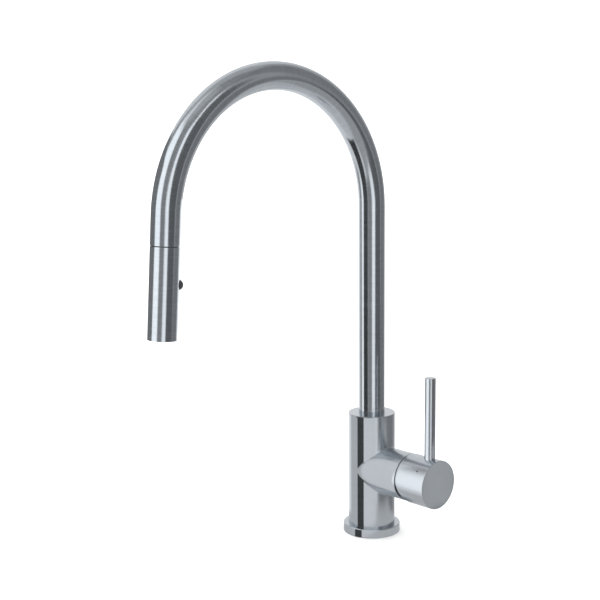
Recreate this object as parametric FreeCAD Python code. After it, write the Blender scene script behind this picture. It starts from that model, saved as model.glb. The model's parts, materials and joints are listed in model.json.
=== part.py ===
"""Single-lever kitchen mixer with a high round arch and a pull-out spray head.

Millimetres, +Z up. The origin is the centre of the flange's underside, on the deck.
The spout reaches towards -Y and the handle's branch towards +X.
"""
import FreeCAD
import Part

import math
import os

V = FreeCAD.Vector

# Cartridge, which sets the branch's size
CARTRIDGE_D = 35.0
CARTRIDGE_LENGTH = 28.9
CARTRIDGE_SHOULDER = 20.5
CARTRIDGE_NECK_STEP = 2.7
BASE_PLATE = 3.2
SEAL_PROUD = 0.8
SEAL_R = 3.7
DISC_THICK = 3.5
MOVING_DISC_THICK = 3.0
MOVING_DISC_STEP = 3.9
MOVING_DISC_REST = -2.2
POCKET_DEPTH = 1.5
POCKET_R = 4.6
CARRIER_THICK = 5.5
CARRIER_FLATS = 16.8
HOUSING_WALL = 2.9
HOUSING_NECK_WALL = 2.4
HOUSING_LIP = 1.2
BALL_R = 2.8
BALL_DEPTH = 14.0
STEM_SQUARE = 8.0
STEM_NECK_R = 2.0
PIN_R = 1.5
ROTOR_PROUD = 3.3
PORT_R = 2.6
INLET_Y = 8.2
INLET_Z = 5.0
OUTLET_Z = -8.0
NUT_WALL = 2.6
PIVOT_INSIDE = 0.4
DOME_OPENING_R = 13.0
DOME_WALL = 2.3

# Body and flange
BRANCH_WALL = 2.4
BRANCH_Z = 64.6
BRANCH_PROUD = 4.4
FLANGE_STEP = 5.0
FLANGE_H = 8.5
FLANGE_EDGE = 0.6
SEAT_WALL = 5.0
SOCKET_DEPTH = 42.0
SOCKET_FLOOR_WALL = 4.8

# Spout
TUBE_D = 25.0
TUBE_WALL = 1.5
RISER_HEIGHT = 199.6
ARCH_R = 120.4
ARCH_SWEEP = 176.0
DOCK_STRAIGHT = 24.8

# Handle
SEAM_GAP = 1.0
CAP_STEP = 0.45
CAP_WALL = 1.35
CAP_LENGTH = 34.1
CAP_RELIEF_ANGLE = 18.5
CAP_EDGE = 0.6
LEVER_D = 10.1
LEVER_FROM_CAP_END = 10.8
LEVER_TOP = 100.1
LEVER_SEAT = 1.2
LEVER_SPIGOT_D = 6.0
INDEX_ANGLE = 50.0
INDEX_D = 2.0
CLAMP_SCREW_D = 4.0

# Deck side
SHANK_D = 33.0
SHANK_WALL = 2.3
SHANK_LENGTH = 58.0
SHANK_GRIP = 15.5
SPIGOT_STEP = 0.5
SPIGOT_H = 6.0
DECK_ROOM = 30.0
CLAMP_PLATE_STEP = 8.5
RUBBER_THICK = 3.0
STEEL_THICK = 2.0
JACK_LIFT = 4.0
NUT_HEIGHT = 10.0
NUT_SCREW_D = 5.0
NUT_SCREW_STEP = 4.0
NUT_SCREW_COUNT = 3
SEAL_GROOVE_DEPTH = 2.0
SEAL_GROOVE_WALL = 3.5
INLET_THREAD_R = 4.0
INLET_THREAD_DEPTH = 12.0
INLET_X = 6.0
OUTLET_WALL = 0.4

# Hose
HOSE_D = 10.0
HOSE_ROOM = 1.2
HOSE_WALL = 2.8
HOSE_FOOT_Z = -46.0
HOSE_FOOT_LENGTH = 20.0
HOSE_BEND_STEPS = 3
FERRULE_WALL = 1.4
CONE_COLLAR = 0.6

# Spout foot, up from the socket's floor
NIPPLE_FLOAT = 1.0
NIPPLE_LENGTH = 32.0
NIPPLE_WALL = 2.2
TUBE_FOOT = 18.0
GLIDE_RING_H = 3.0
GLIDE_RING_DEPTH = 1.4
GLIDE_LOW = 2.5
GLIDE_HIGH = 13.0
STOP_GROOVE = 9.2
STOP_SCREW_D = 4.0
STOP_SCREW_SUNK = 1.5
STOP_GROOVE_DEPTH = 1.4
SWIVEL_MAX = 75.0
TOP_RING_DOWN = 7.5
TOP_RING_DEPTH = 1.6

# Spray head, measured along its own axis from the seam
HEAD_LENGTH = 77.6
HEAD_WALL = 1.3
HEAD_EDGE = 0.3
SEAM_LINE = 0.2
NOSE_LENGTH = 14.0
NOSE_STRAIGHT = 6.0
NOSE_WALL = 0.5
NOSE_TAPER = 1.2
COLLAR_DEPTH = 3.0
DOCK_LENGTH = 20.0
DOCK_SINK = 0.4
TAIL_ABOVE = 22.0
TAIL_BELOW = 4.0
FERRULE_TOP = 10.0
CONE_BELOW = 9.0
COUPLING_WALL = 2.9
WASHER_THICK = 1.5
CHECK_VALVE_WALL = 1.0
CHECK_VALVE_LENGTH = 11.0
WATERWAY_R = 2.6
BUTTON_DOWN = 32.0
BUTTON_D = 9.0
BUTTON_PROUD = 3.6
BUTTON_DOME = 3.4
BUTTON_DEPTH = 4.0
BUTTON_TRAVEL = 2.0
BUTTON_TURN = 25.0
SPOOL_R = 2.6
SPOOL_SEAL_PROUD = 0.3
SPOOL_SEAL_PLACES = (-4.0, 3.2)
SPRING_ROOM = 3.3
SLOT_SHARE = 0.5
CORE_FROM_END = 14.4
CORE_WALL = 1.75
CHAMBER_DEPTH = 9.0
NOZZLE_PLATE_THICK = 4.0
OUTLET_RING_H = 5.0
NOZZLE_COUNT = 14
NOZZLE_R = 0.9
NOZZLE_BAND = 4.6
AERATOR_WALL = 0.9
HEAD_BOTTOM_RECESS = 1.0

# Fits
RUN_FIT = 0.1
SEAT_FIT = 0.05
MOVE_GAP = 0.3

NUT_THREAD_D = CARTRIDGE_D + 2 * NUT_WALL
BODY_D = NUT_THREAD_D + 2 * BRANCH_WALL
BODY_R = BODY_D / 2
FLANGE_R = BODY_R + FLANGE_STEP
CAP_R = BODY_R + CAP_STEP
CAP_D = 2 * CAP_R
DOME_R = CAP_R - CAP_WALL - MOVE_GAP
TUBE_R = TUBE_D / 2
TUBE_BORE_R = TUBE_R - TUBE_WALL
HOSE_R = HOSE_D / 2
HOSE_PASSAGE_R = HOSE_R + HOSE_ROOM
FERRULE_R = HOSE_R + FERRULE_WALL
COUPLING_R = HOSE_R + CONE_COLLAR + RUN_FIT + COUPLING_WALL
CHECK_VALVE_R = HOSE_R + CHECK_VALVE_WALL
NOSE_TIP_R = FERRULE_R + MOVE_GAP + NOSE_WALL
NOSE_R = NOSE_TIP_R + NOSE_TAPER
CORE_R = TUBE_R - HEAD_WALL - SEAT_FIT
CORE_END = HEAD_LENGTH - CORE_FROM_END
AERATOR_R = CORE_R - NOZZLE_BAND
NOZZLE_PITCH_R = (AERATOR_R + CORE_R) / 2
LEAN = 180.0 - ARCH_SWEEP

SHANK_R = SHANK_D / 2
SHANK_BORE_R = SHANK_R - SHANK_WALL
SPIGOT_R = SHANK_R + SPIGOT_STEP
SEAL_GROOVE_IN = SPIGOT_R + SEAL_GROOVE_WALL
SEAL_GROOVE_OUT = FLANGE_R - SEAL_GROOVE_WALL
CLAMP_PLATE_R = SHANK_R + CLAMP_PLATE_STEP
NUT_SCREW_PITCH_R = SHANK_R + NUT_SCREW_STEP
OUTLET_X = SHANK_BORE_R - INLET_THREAD_R - OUTLET_WALL
HOSE_OFFSET = SHANK_BORE_R - HOSE_PASSAGE_R - HOSE_WALL

SEAT_X = TUBE_R + SEAT_WALL
CARTRIDGE_R = CARTRIDGE_D / 2 - RUN_FIT
CARTRIDGE_SHOULDER_X = SEAT_X + CARTRIDGE_SHOULDER
CARTRIDGE_TOP_X = SEAT_X + CARTRIDGE_LENGTH
CARTRIDGE_NECK_R = CARTRIDGE_D / 2 - CARTRIDGE_NECK_STEP
HOUSING_BORE_R = CARTRIDGE_R - HOUSING_WALL
ROTOR_NECK_R = CARTRIDGE_NECK_R - HOUSING_NECK_WALL - RUN_FIT
MOVING_DISC_R = HOUSING_BORE_R - MOVING_DISC_STEP
PIVOT_X = CARTRIDGE_TOP_X - PIVOT_INSIDE
PLATE_X = SEAT_X + SEAL_PROUD
DISC_X = PLATE_X + BASE_PLATE
MOVING_X = DISC_X + DISC_THICK
CARRIER_X = MOVING_X + MOVING_DISC_THICK
ROTOR_X = CARRIER_X + CARRIER_THICK + MOVE_GAP
BALL_X = PIVOT_X - BALL_DEPTH

BRANCH_END = PIVOT_X + BRANCH_PROUD
CAP_START = BRANCH_END + SEAM_GAP
CAP_END = CAP_START + CAP_LENGTH
LEVER_X = CAP_END - LEVER_FROM_CAP_END
STEM_END_X = LEVER_X + LEVER_D / 2

SOCKET_FLOOR = BRANCH_Z + INLET_Z + PORT_R + SOCKET_FLOOR_WALL
BODY_TOP = SOCKET_FLOOR + SOCKET_DEPTH
ARCH_CENTRE_Z = BODY_TOP + RISER_HEIGHT
TUBE_FOOT_Z = SOCKET_FLOOR + TUBE_FOOT
STOP_GROOVE_Z = SOCKET_FLOOR + STOP_GROOVE
TOP_RING_Z = BODY_TOP - TOP_RING_DOWN
HOSE_SHIFT_LOW = FLANGE_H + SHANK_GRIP + HOSE_D / 2
HOSE_SHIFT_HIGH = SOCKET_FLOOR
HOSE_SPLIT = SOCKET_FLOOR + NIPPLE_FLOAT + NIPPLE_LENGTH

ARCH_END = V(0, -ARCH_R - ARCH_R * math.cos(math.radians(LEAN)),
             ARCH_CENTRE_Z + ARCH_R * math.sin(math.radians(LEAN)))
DOWN = V(0, -math.sin(math.radians(LEAN)), -math.cos(math.radians(LEAN)))
SEAM = ARCH_END + DOWN * DOCK_STRAIGHT

UPRIGHT = FreeCAD.Placement()
BRANCH = FreeCAD.Placement(V(0, 0, BRANCH_Z), FreeCAD.Rotation(V(0, 0, 1), V(1, 0, 0)))
HEAD = FreeCAD.Placement(SEAM, FreeCAD.Rotation(V(1, 0, 0), -LEAN))


def placed(shape, frame):
    """Move a shape from its own frame into the faucet's frame."""
    moved = shape.copy()
    moved.Placement = frame.multiply(moved.Placement)
    return moved


def disc(radius, low, high, frame=UPRIGHT, x=0.0, y=0.0):
    """Solid cylinder along the frame's Z, from low to high."""
    return placed(Part.makeCylinder(radius, high - low, V(x, y, low)), frame)


def ring(inner, outer, low, high, frame=UPRIGHT):
    """Hollow cylinder along the frame's Z."""
    return disc(outer, low, high, frame).cut(disc(inner, low - 1, high + 1, frame))


def turned(outline, frame=UPRIGHT):
    """Solid of revolution: outline is a list of (radius, z) corners."""
    points = [V(radius, 0, z) for radius, z in outline]
    face = Part.Face(Part.makePolygon(points + points[:1]))
    return placed(face.revolve(V(0, 0, 0), V(0, 0, 1), 360), frame)


def block(size, centre, frame=UPRIGHT):
    """Box of the given size about its centre."""
    return placed(Part.makeBox(*size, V(*centre) - V(*size) * 0.5), frame)


def rod(radius, start, end):
    """Solid cylinder between two points."""
    along = end - start
    return Part.makeCylinder(radius, along.Length, start, along)


def drilled(radius, points):
    """Drilled passage through several points, with round corners."""
    tool = Part.makeSphere(radius, points[0])
    for start, end in zip(points, points[1:]):
        tool = tool.fuse([rod(radius, start, end), Part.makeSphere(radius, end)])
    return tool.removeSplitter()


def rounded_route(points):
    """Wire of straight runs joined by tangent arcs, one arc at each inner point."""
    edges = []
    here = points[0]
    for before, corner, after in zip(points, points[1:], points[2:]):
        back = (before - corner).normalize()
        onward = (after - corner).normalize()
        half_turn = (math.pi - back.getAngle(onward)) / 2
        reach = 0.45 * min((before - corner).Length, (after - corner).Length)
        radius = reach / math.tan(half_turn)
        start = corner + back * reach
        end = corner + onward * reach
        middle_line = (back + onward).normalize()
        middle = corner + middle_line * (radius / math.cos(half_turn) - radius)
        edges += [Part.LineSegment(here, start).toShape(), Part.Arc(start, middle, end).toShape()]
        here = end
    return Part.Wire(edges + [Part.LineSegment(here, points[-1]).toShape()])


def swept(radius, wire):
    """Round bar along a smooth wire."""
    start = wire.Edges[0].valueAt(wire.Edges[0].FirstParameter)
    along = wire.Edges[0].tangentAt(wire.Edges[0].FirstParameter)
    circle = Part.Wire(Part.makeCircle(radius, start, along))
    return wire.makePipeShell([circle], True, False)


def spaced(count, radius):
    """Centres of equal places round a circle."""
    turns = [2 * math.pi * index / count for index in range(count)]
    return [(radius * math.cos(turn), radius * math.sin(turn)) for turn in turns]


def helix(radius, wire_r, low, high, turns, frame):
    """Compression spring between two heights, as one closed coil."""
    rise = high - low - 2 * wire_r
    path = Part.makeHelix(rise / turns, rise, radius)
    profile = Part.Wire(Part.makeCircle(wire_r, V(radius, 0, 0), V(0, 1, 0)))
    coil = Part.Wire(path.Edges).makePipeShell([profile], True, True)
    return placed(coil, frame.multiply(FreeCAD.Placement(V(0, 0, low + wire_r), FreeCAD.Rotation())))


def slotted_spring(radius, wall, low, high, rows, frame):
    """Sleeve spring: a thin tube with rows of slots, each row a quarter turn from the last."""
    sleeve = ring(radius - wall, radius, low, high)
    pitch = (high - low) / rows
    bridge = 2 * wall
    slots = []
    for row in range(rows):
        foot = low + pitch * (row + SLOT_SHARE / 2)
        for side in (0, 180):
            slot = Part.makeBox(2 * radius, radius, pitch * SLOT_SHARE, V(-radius, bridge / 2, foot))
            slot.rotate(V(0, 0, 0), V(0, 0, 1), side + 90 * (row % 2))
            slots.append(slot)
    return placed(sleeve.cut(slots), frame)


def hose_shift_points():
    """Points of the hose's side step, between the offset passage and the spout's axis."""
    span = HOSE_SHIFT_HIGH - HOSE_SHIFT_LOW
    points = []
    for index in range(HOSE_BEND_STEPS + 1):
        share = index / HOSE_BEND_STEPS
        eased = share * share * (3 - 2 * share)
        points.append(V(-HOSE_OFFSET * (1 - eased), 0, HOSE_SHIFT_LOW + span * share))
    return points


def hose_route(bottom, top):
    """Wire from the shank's mouth up to the spout's axis."""
    return rounded_route([V(-HOSE_OFFSET, 0, bottom)] + hose_shift_points() + [V(0, 0, top)])


def spout_line(foot_z, straight):
    """Wire up the riser, round the arch and down its straight end."""
    top = V(0, 0, ARCH_CENTRE_Z)
    half = math.radians(ARCH_SWEEP / 2)
    middle = V(0, -ARCH_R + ARCH_R * math.cos(half), ARCH_CENTRE_Z + ARCH_R * math.sin(half))
    riser = Part.LineSegment(V(0, 0, foot_z), top).toShape()
    arch = Part.Arc(top, middle, ARCH_END).toShape()
    end = Part.LineSegment(ARCH_END, ARCH_END + DOWN * straight).toShape()
    return Part.Wire([riser, arch, end])


def base_flange():
    """Round plate on the deck, with a groove for its seal."""
    plate = disc(FLANGE_R, 0, FLANGE_H)
    rim = [edge for edge in plate.Edges if edge.BoundBox.ZMin > FLANGE_H - 0.01]
    plate = plate.makeChamfer(FLANGE_EDGE, rim)
    plate = plate.cut(disc(SPIGOT_R + MOVE_GAP, -1, FLANGE_H + 1))
    return plate.cut(ring(SEAL_GROOVE_IN, SEAL_GROOVE_OUT, -1, SEAL_GROOVE_DEPTH))


def flange_seal():
    """Flat rubber ring in the flange's groove, level with the deck."""
    return ring(SEAL_GROOVE_IN + RUN_FIT, SEAL_GROOVE_OUT - RUN_FIT, 0, SEAL_GROOVE_DEPTH)


def water_passages():
    """Threaded inlets and outlet in the body's floor, and the drillings to the cartridge seat."""
    floor = FLANGE_H + SHANK_GRIP
    thread_top = floor + INLET_THREAD_DEPTH
    tools = []
    inlets = ((INLET_X, INLET_Y, INLET_Z), (INLET_X, -INLET_Y, INLET_Z))
    for x, y, z in inlets + ((OUTLET_X, 0, OUTLET_Z),):
        tools.append(disc(INLET_THREAD_R, floor - 1, thread_top, x=x, y=y))
        turn = V(x, y, BRANCH_Z + z)
        tools.append(drilled(PORT_R, [V(x, y, thread_top), turn, V(SEAT_X + 1, y, BRANCH_Z + z)]))
    return tools


def valve_body():
    """Upright body with its side branch, bored for shank, hose, spout, water and cartridge."""
    shell = disc(BODY_R, FLANGE_H, BODY_TOP).fuse(disc(BODY_R, 0, BRANCH_END, BRANCH)).removeSplitter()
    passage = swept(HOSE_PASSAGE_R, hose_route(FLANGE_H, BODY_TOP + 1))
    socket = disc(TUBE_R + RUN_FIT, SOCKET_FLOOR, BODY_TOP + 1)
    groove = disc(TUBE_R + TOP_RING_DEPTH, TOP_RING_Z, TOP_RING_Z + GLIDE_RING_H)
    shank_seat = disc(SHANK_R + SEAT_FIT, FLANGE_H - 1, FLANGE_H + SHANK_GRIP)
    cartridge_bore = disc(CARTRIDGE_D / 2 + RUN_FIT, SEAT_X, BRANCH_END + 1, BRANCH)
    nut_bore = disc(NUT_THREAD_D / 2, CARTRIDGE_SHOULDER_X, BRANCH_END + 1, BRANCH)
    screw_hole = rod(STOP_SCREW_D / 2, V(0, 0, STOP_GROOVE_Z), V(0, BODY_D, STOP_GROOVE_Z))
    cuts = [passage, socket, groove, shank_seat, cartridge_bore, nut_bore, screw_hole]
    return shell.cut(cuts + water_passages())


def threaded_shank():
    """Hollow stud under the body, with a short plain spigot that centres it in the deck's hole."""
    edge = 0.8
    top = FLANGE_H + SHANK_GRIP
    bore = SHANK_BORE_R
    outline = [(bore, -SHANK_LENGTH), (SHANK_R - edge, -SHANK_LENGTH), (SHANK_R, edge - SHANK_LENGTH),
               (SHANK_R, -SPIGOT_H), (SPIGOT_R, -SPIGOT_H), (SPIGOT_R, 0), (SHANK_R, 0),
               (SHANK_R, top), (bore, top)]
    return turned(outline)


def clamp_washer(low, high):
    """Large plain washer round the shank."""
    return ring(SHANK_R + MOVE_GAP, CLAMP_PLATE_R, low, high)


def nut_top():
    """Height of the shank nut's upper face."""
    return -DECK_ROOM - RUBBER_THICK - STEEL_THICK - JACK_LIFT


def shank_nut():
    """Round nut on the shank, with through holes for its jack screws and two spanner flats."""
    top = nut_top()
    nut = ring(SHANK_R + RUN_FIT, CLAMP_PLATE_R - 1, top - NUT_HEIGHT, top)
    flats = block((2 * CLAMP_PLATE_R, 2 * CLAMP_PLATE_R - 4, NUT_HEIGHT), (0, 0, top - NUT_HEIGHT / 2))
    holes = [disc(NUT_SCREW_D / 2 + SEAT_FIT, top - NUT_HEIGHT - 1, top + 1, x=x, y=y)
             for x, y in spaced(NUT_SCREW_COUNT, NUT_SCREW_PITCH_R)]
    return nut.common(flats).cut(holes)


def jack_screws():
    """Screws through the nut that press the steel washer up against the deck."""
    tip = -DECK_ROOM - RUBBER_THICK - STEEL_THICK
    foot = nut_top() - NUT_HEIGHT - JACK_LIFT
    screws = []
    for x, y in spaced(NUT_SCREW_COUNT, NUT_SCREW_PITCH_R):
        slot = block((0.9, NUT_SCREW_D, 2.4), (x, y, foot))
        screws.append(disc(NUT_SCREW_D / 2, foot, tip, x=x, y=y).cut(slot))
    return Part.makeCompound(screws)


def stop_screw():
    """Screw in the back of the body whose tip runs in the nipple's groove and limits the swivel."""
    inner = TUBE_R - STOP_GROOVE_DEPTH + MOVE_GAP
    outer = BODY_R - STOP_SCREW_SUNK
    screw = rod(STOP_SCREW_D / 2 - SEAT_FIT, V(0, inner, STOP_GROOVE_Z), V(0, outer, STOP_GROOVE_Z))
    socket = block((2.0, 4.0, 2.0), (0, outer, STOP_GROOVE_Z))
    return screw.cut(socket)


def glide_ring(low, inner, outer):
    """Thin plastic ring, split so that it snaps into its groove."""
    whole = ring(inner, outer, low, low + GLIDE_RING_H)
    return whole.cut(block((2 * outer, 1.0, 3 * GLIDE_RING_H), (outer, 0, low)))


def top_glide_ring():
    """Ring in the body's top groove that guides the riser."""
    inset = RUN_FIT / 2
    return glide_ring(TOP_RING_Z, TUBE_R + inset, TUBE_R + TOP_RING_DEPTH - inset)


def nipple_groove_ring(low):
    """Ring in one of the nipple's grooves."""
    return glide_ring(low, TUBE_R - GLIDE_RING_DEPTH + SEAT_FIT, TUBE_R + SEAT_FIT)


def spout_tube():
    """Riser, arch and straight end in one bent tube."""
    line = spout_line(TUBE_FOOT_Z, DOCK_STRAIGHT)
    return swept(TUBE_R, line).cut(swept(TUBE_BORE_R, line))


def spout_nipple():
    """Turned foot of the spout: it holds the tube, two glide rings and the stop groove."""
    foot = SOCKET_FLOOR + NIPPLE_FLOAT
    bore = TUBE_BORE_R - NIPPLE_WALL
    outline = [(bore, foot), (TUBE_R, foot), (TUBE_R, TUBE_FOOT_Z), (TUBE_BORE_R - SEAT_FIT, TUBE_FOOT_Z),
               (TUBE_BORE_R - SEAT_FIT, foot + NIPPLE_LENGTH), (bore, foot + NIPPLE_LENGTH)]
    nipple = turned(outline)
    grooves = [ring(TUBE_R - GLIDE_RING_DEPTH, BODY_R, low, low + GLIDE_RING_H)
               for low in (SOCKET_FLOOR + GLIDE_LOW, SOCKET_FLOOR + GLIDE_HIGH)]
    half = STOP_SCREW_D / 2 + RUN_FIT
    stop = ring(TUBE_R - STOP_GROOVE_DEPTH, BODY_R, STOP_GROOVE_Z - half, STOP_GROOVE_Z + half)
    clearance = math.degrees(half / (TUBE_R - STOP_GROOVE_DEPTH)) + 2
    reach = 2 * (SWIVEL_MAX + clearance)
    sector = Part.makeCylinder(BODY_R, BODY_D, V(0, 0, TUBE_FOOT_Z - BODY_D), V(0, 0, 1), reach)
    sector.rotate(V(0, 0, 0), V(0, 0, 1), 90 - reach / 2)
    return nipple.cut(grooves + [stop.common(sector)])


def dock_bush():
    """Plastic bush in the tube's end: the head's nose seats in its mouth, the hose slides in its throat."""
    throat = FERRULE_R + 2 * MOVE_GAP
    rim = TUBE_BORE_R - SEAT_FIT
    mouth = NOSE_R + MOVE_GAP
    tip = NOSE_TIP_R + MOVE_GAP
    outline = [(mouth, DOCK_SINK), (rim, DOCK_SINK), (rim, DOCK_LENGTH), (throat + 1.4, DOCK_LENGTH),
               (throat, DOCK_LENGTH - 1.4), (throat, NOSE_LENGTH + MOVE_GAP), (tip, NOSE_LENGTH + MOVE_GAP),
               (mouth, NOSE_STRAIGHT + MOVE_GAP)]
    return turned(outline, HEAD)


def spray_hose_lower():
    """Stretch of the spray hose inside the shank and the body."""
    return swept(HOSE_R, hose_route(HOSE_FOOT_Z, HOSE_SPLIT))


def spray_hose_upper():
    """Stretch of the spray hose inside the riser and the arch."""
    return swept(HOSE_R, spout_line(HOSE_SPLIT, DOCK_STRAIGHT - TAIL_ABOVE))


def hose_foot():
    """Crimped end fitting of the spray hose, with a hexagon and a threaded spigot."""
    top = HOSE_FOOT_Z
    sleeve = disc(HOSE_PASSAGE_R, top - 8, top, x=-HOSE_OFFSET)
    corners = [V(x - HOSE_OFFSET, y, top - 13) for x, y in spaced(6, HOSE_PASSAGE_R + 0.8)]
    hexagon = Part.Face(Part.makePolygon(corners + corners[:1])).extrude(V(0, 0, 5))
    spigot = disc(HOSE_R, top - HOSE_FOOT_LENGTH, top - 13, x=-HOSE_OFFSET)
    bore = disc(HOSE_R - 2, top - HOSE_FOOT_LENGTH - 1, top - 2, x=-HOSE_OFFSET)
    return sleeve.fuse([hexagon, spigot]).removeSplitter().cut(bore)


def port_drills(low, high, radius):
    """Cylinders through the three ports, along the branch."""
    places = ((INLET_Y, INLET_Z), (-INLET_Y, INLET_Z), (0, OUTLET_Z))
    return [rod(radius, V(low, y, BRANCH_Z + z), V(high, y, BRANCH_Z + z)) for y, z in places]


def cartridge_base():
    """Port plate at the back of the cartridge, recessed for its three seals."""
    plate = disc(CARTRIDGE_R, PLATE_X, DISC_X, BRANCH)
    counterbores = port_drills(PLATE_X - 1, PLATE_X + 1, SEAL_R)
    return plate.cut(port_drills(PLATE_X - 1, DISC_X + 1, PORT_R) + counterbores)


def cartridge_seals():
    """Three rubber port seals between the plate and the body's seat."""
    outer = port_drills(SEAT_X, PLATE_X + 1, SEAL_R - SEAT_FIT)
    inner = port_drills(SEAT_X - 1, PLATE_X + 2, PORT_R + SEAT_FIT)
    return Part.makeCompound([wall.cut(hole) for wall, hole in zip(outer, inner)])


def cartridge_housing():
    """Stepped plastic shell of the cartridge."""
    neck = CARTRIDGE_NECK_R
    shoulder_inside = CARTRIDGE_SHOULDER_X - HOUSING_LIP
    outline = [(HOUSING_BORE_R, DISC_X), (CARTRIDGE_R, DISC_X), (CARTRIDGE_R, CARTRIDGE_SHOULDER_X),
               (neck, CARTRIDGE_SHOULDER_X), (neck, CARTRIDGE_TOP_X),
               (ROTOR_NECK_R + RUN_FIT, CARTRIDGE_TOP_X), (ROTOR_NECK_R + RUN_FIT, shoulder_inside),
               (HOUSING_BORE_R, shoulder_inside)]
    return turned(outline, BRANCH)


def ceramic_disc_fixed():
    """Lower ceramic disc with the three ports."""
    wafer = disc(HOUSING_BORE_R - RUN_FIT, DISC_X, MOVING_X, BRANCH)
    return wafer.cut(port_drills(DISC_X - 1, MOVING_X + 1, PORT_R))


def ceramic_disc_moving():
    """Upper ceramic disc, with the pocket that joins the ports as it slides."""
    centre = BRANCH_Z + MOVING_DISC_REST
    wafer = rod(MOVING_DISC_R, V(MOVING_X, 0, centre), V(CARRIER_X, 0, centre))
    lobes = [rod(POCKET_R, V(MOVING_X - 1, y, centre + z), V(MOVING_X + POCKET_DEPTH, y, centre + z))
             for y, z in ((-4.5, 0), (4.5, 0), (0, -3.0))]
    return wafer.cut(lobes)


def disc_carrier():
    """Plastic slider on the moving disc, with a socket for the stem's ball."""
    centre = BRANCH_Z + MOVING_DISC_REST
    slider = rod(MOVING_DISC_R, V(CARRIER_X, 0, centre), V(CARRIER_X + CARRIER_THICK, 0, centre))
    flat_block = (CARRIER_THICK, CARRIER_FLATS, 2 * MOVING_DISC_R)
    flats = block(flat_block, (CARRIER_X + CARRIER_THICK / 2, 0, centre))
    socket = rod(BALL_R + RUN_FIT, V(BALL_X - BALL_R - MOVE_GAP, 0, BRANCH_Z), V(PIVOT_X, 0, BRANCH_Z))
    return slider.common(flats).cut(socket)


def cartridge_rotor():
    """Turning yoke: fingers beside the slider, and a slot in which the stem tilts."""
    wide = HOUSING_BORE_R - RUN_FIT
    shoulder = CARTRIDGE_SHOULDER_X - HOUSING_LIP - RUN_FIT
    end = PIVOT_X + ROTOR_PROUD
    outline = [(0, ROTOR_X), (wide, ROTOR_X), (wide, shoulder), (ROTOR_NECK_R, shoulder),
               (ROTOR_NECK_R, end), (0, end)]
    yoke = turned(outline, BRANCH)
    band = disc(wide, CARRIER_X + MOVE_GAP, ROTOR_X, BRANCH)
    gap = block((BODY_D, CARRIER_FLATS + 2 * MOVE_GAP, BODY_D), (CARRIER_X, 0, BRANCH_Z))
    fingers = band.cut(gap)
    half = STEM_SQUARE / 2
    low = BRANCH_Z - half - 2.3
    corner = V(ROTOR_X - 5, -half - MOVE_GAP, low)
    slot = Part.makeBox(BODY_D, STEM_SQUARE + 2 * MOVE_GAP, STEM_SQUARE + 6.6, corner)
    pin_hole = rod(PIN_R + SEAT_FIT, V(PIVOT_X, -20, BRANCH_Z), V(PIVOT_X, 20, BRANCH_Z))
    return yoke.fuse(fingers).removeSplitter().cut([slot, pin_hole])


def stem_pivot_pin():
    """Cross pin on which the stem tilts."""
    half = ROTOR_NECK_R - 1.2
    return rod(PIN_R, V(PIVOT_X, -half, BRANCH_Z), V(PIVOT_X, half, BRANCH_Z))


def cartridge_stem():
    """Steel stem: ball at its inner end, pivot in the middle, square outside for the cap."""
    ball = Part.makeSphere(BALL_R, V(BALL_X, 0, BRANCH_Z))
    neck = rod(STEM_NECK_R, V(BALL_X, 0, BRANCH_Z), V(PIVOT_X - 3, 0, BRANCH_Z))
    start = PIVOT_X - 4.2
    end = STEM_END_X
    square = block((end - start, STEM_SQUARE, STEM_SQUARE), ((start + end) / 2, 0, BRANCH_Z))
    hole = rod(PIN_R + SEAT_FIT, V(PIVOT_X, -20, BRANCH_Z), V(PIVOT_X, 20, BRANCH_Z))
    return ball.fuse([neck, square]).removeSplitter().cut(hole)


def cartridge_nut():
    """Threaded ring that holds the cartridge on its seat, notched for its key."""
    low = CARTRIDGE_SHOULDER_X
    high = CARTRIDGE_TOP_X
    nut = ring(CARTRIDGE_NECK_R + RUN_FIT, NUT_THREAD_D / 2 - SEAT_FIT, low, high, BRANCH)
    notches = [block((3.0, 4.0, NUT_THREAD_D + 2), (high, 0, BRANCH_Z)),
               block((3.0, NUT_THREAD_D + 2, 4.0), (high, 0, BRANCH_Z))]
    return nut.cut(notches)


def dome_ring():
    """Domed cover over the cartridge nut: a ball surface about the tilt axis, with a skirt in the branch."""
    centre = V(PIVOT_X, 0, BRANCH_Z)
    outside = Part.makeSphere(DOME_R, centre).common(disc(BODY_R, BRANCH_END, CAP_END, BRANCH))
    skirt = disc(NUT_THREAD_D / 2 - SEAT_FIT, CARTRIDGE_TOP_X + MOVE_GAP, BRANCH_END, BRANCH)
    inside = Part.makeSphere(DOME_R - DOME_WALL, centre)
    inner_skirt = disc(DOME_R - DOME_WALL - 0.4, PIVOT_X, BRANCH_END, BRANCH)
    mouth = disc(DOME_OPENING_R, PIVOT_X, CAP_END, BRANCH)
    return outside.fuse(skirt).removeSplitter().cut([inside, inner_skirt, mouth])


def round_end(x, angle, inner, outer):
    """Two points at the same place along the cap, at radii inner and outer and an angle from the lever."""
    turn = math.radians(angle)
    across = V(0, -math.sin(turn), math.cos(turn))
    centre = V(x, 0, BRANCH_Z)
    return centre + across * inner, centre + across * outer


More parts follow.
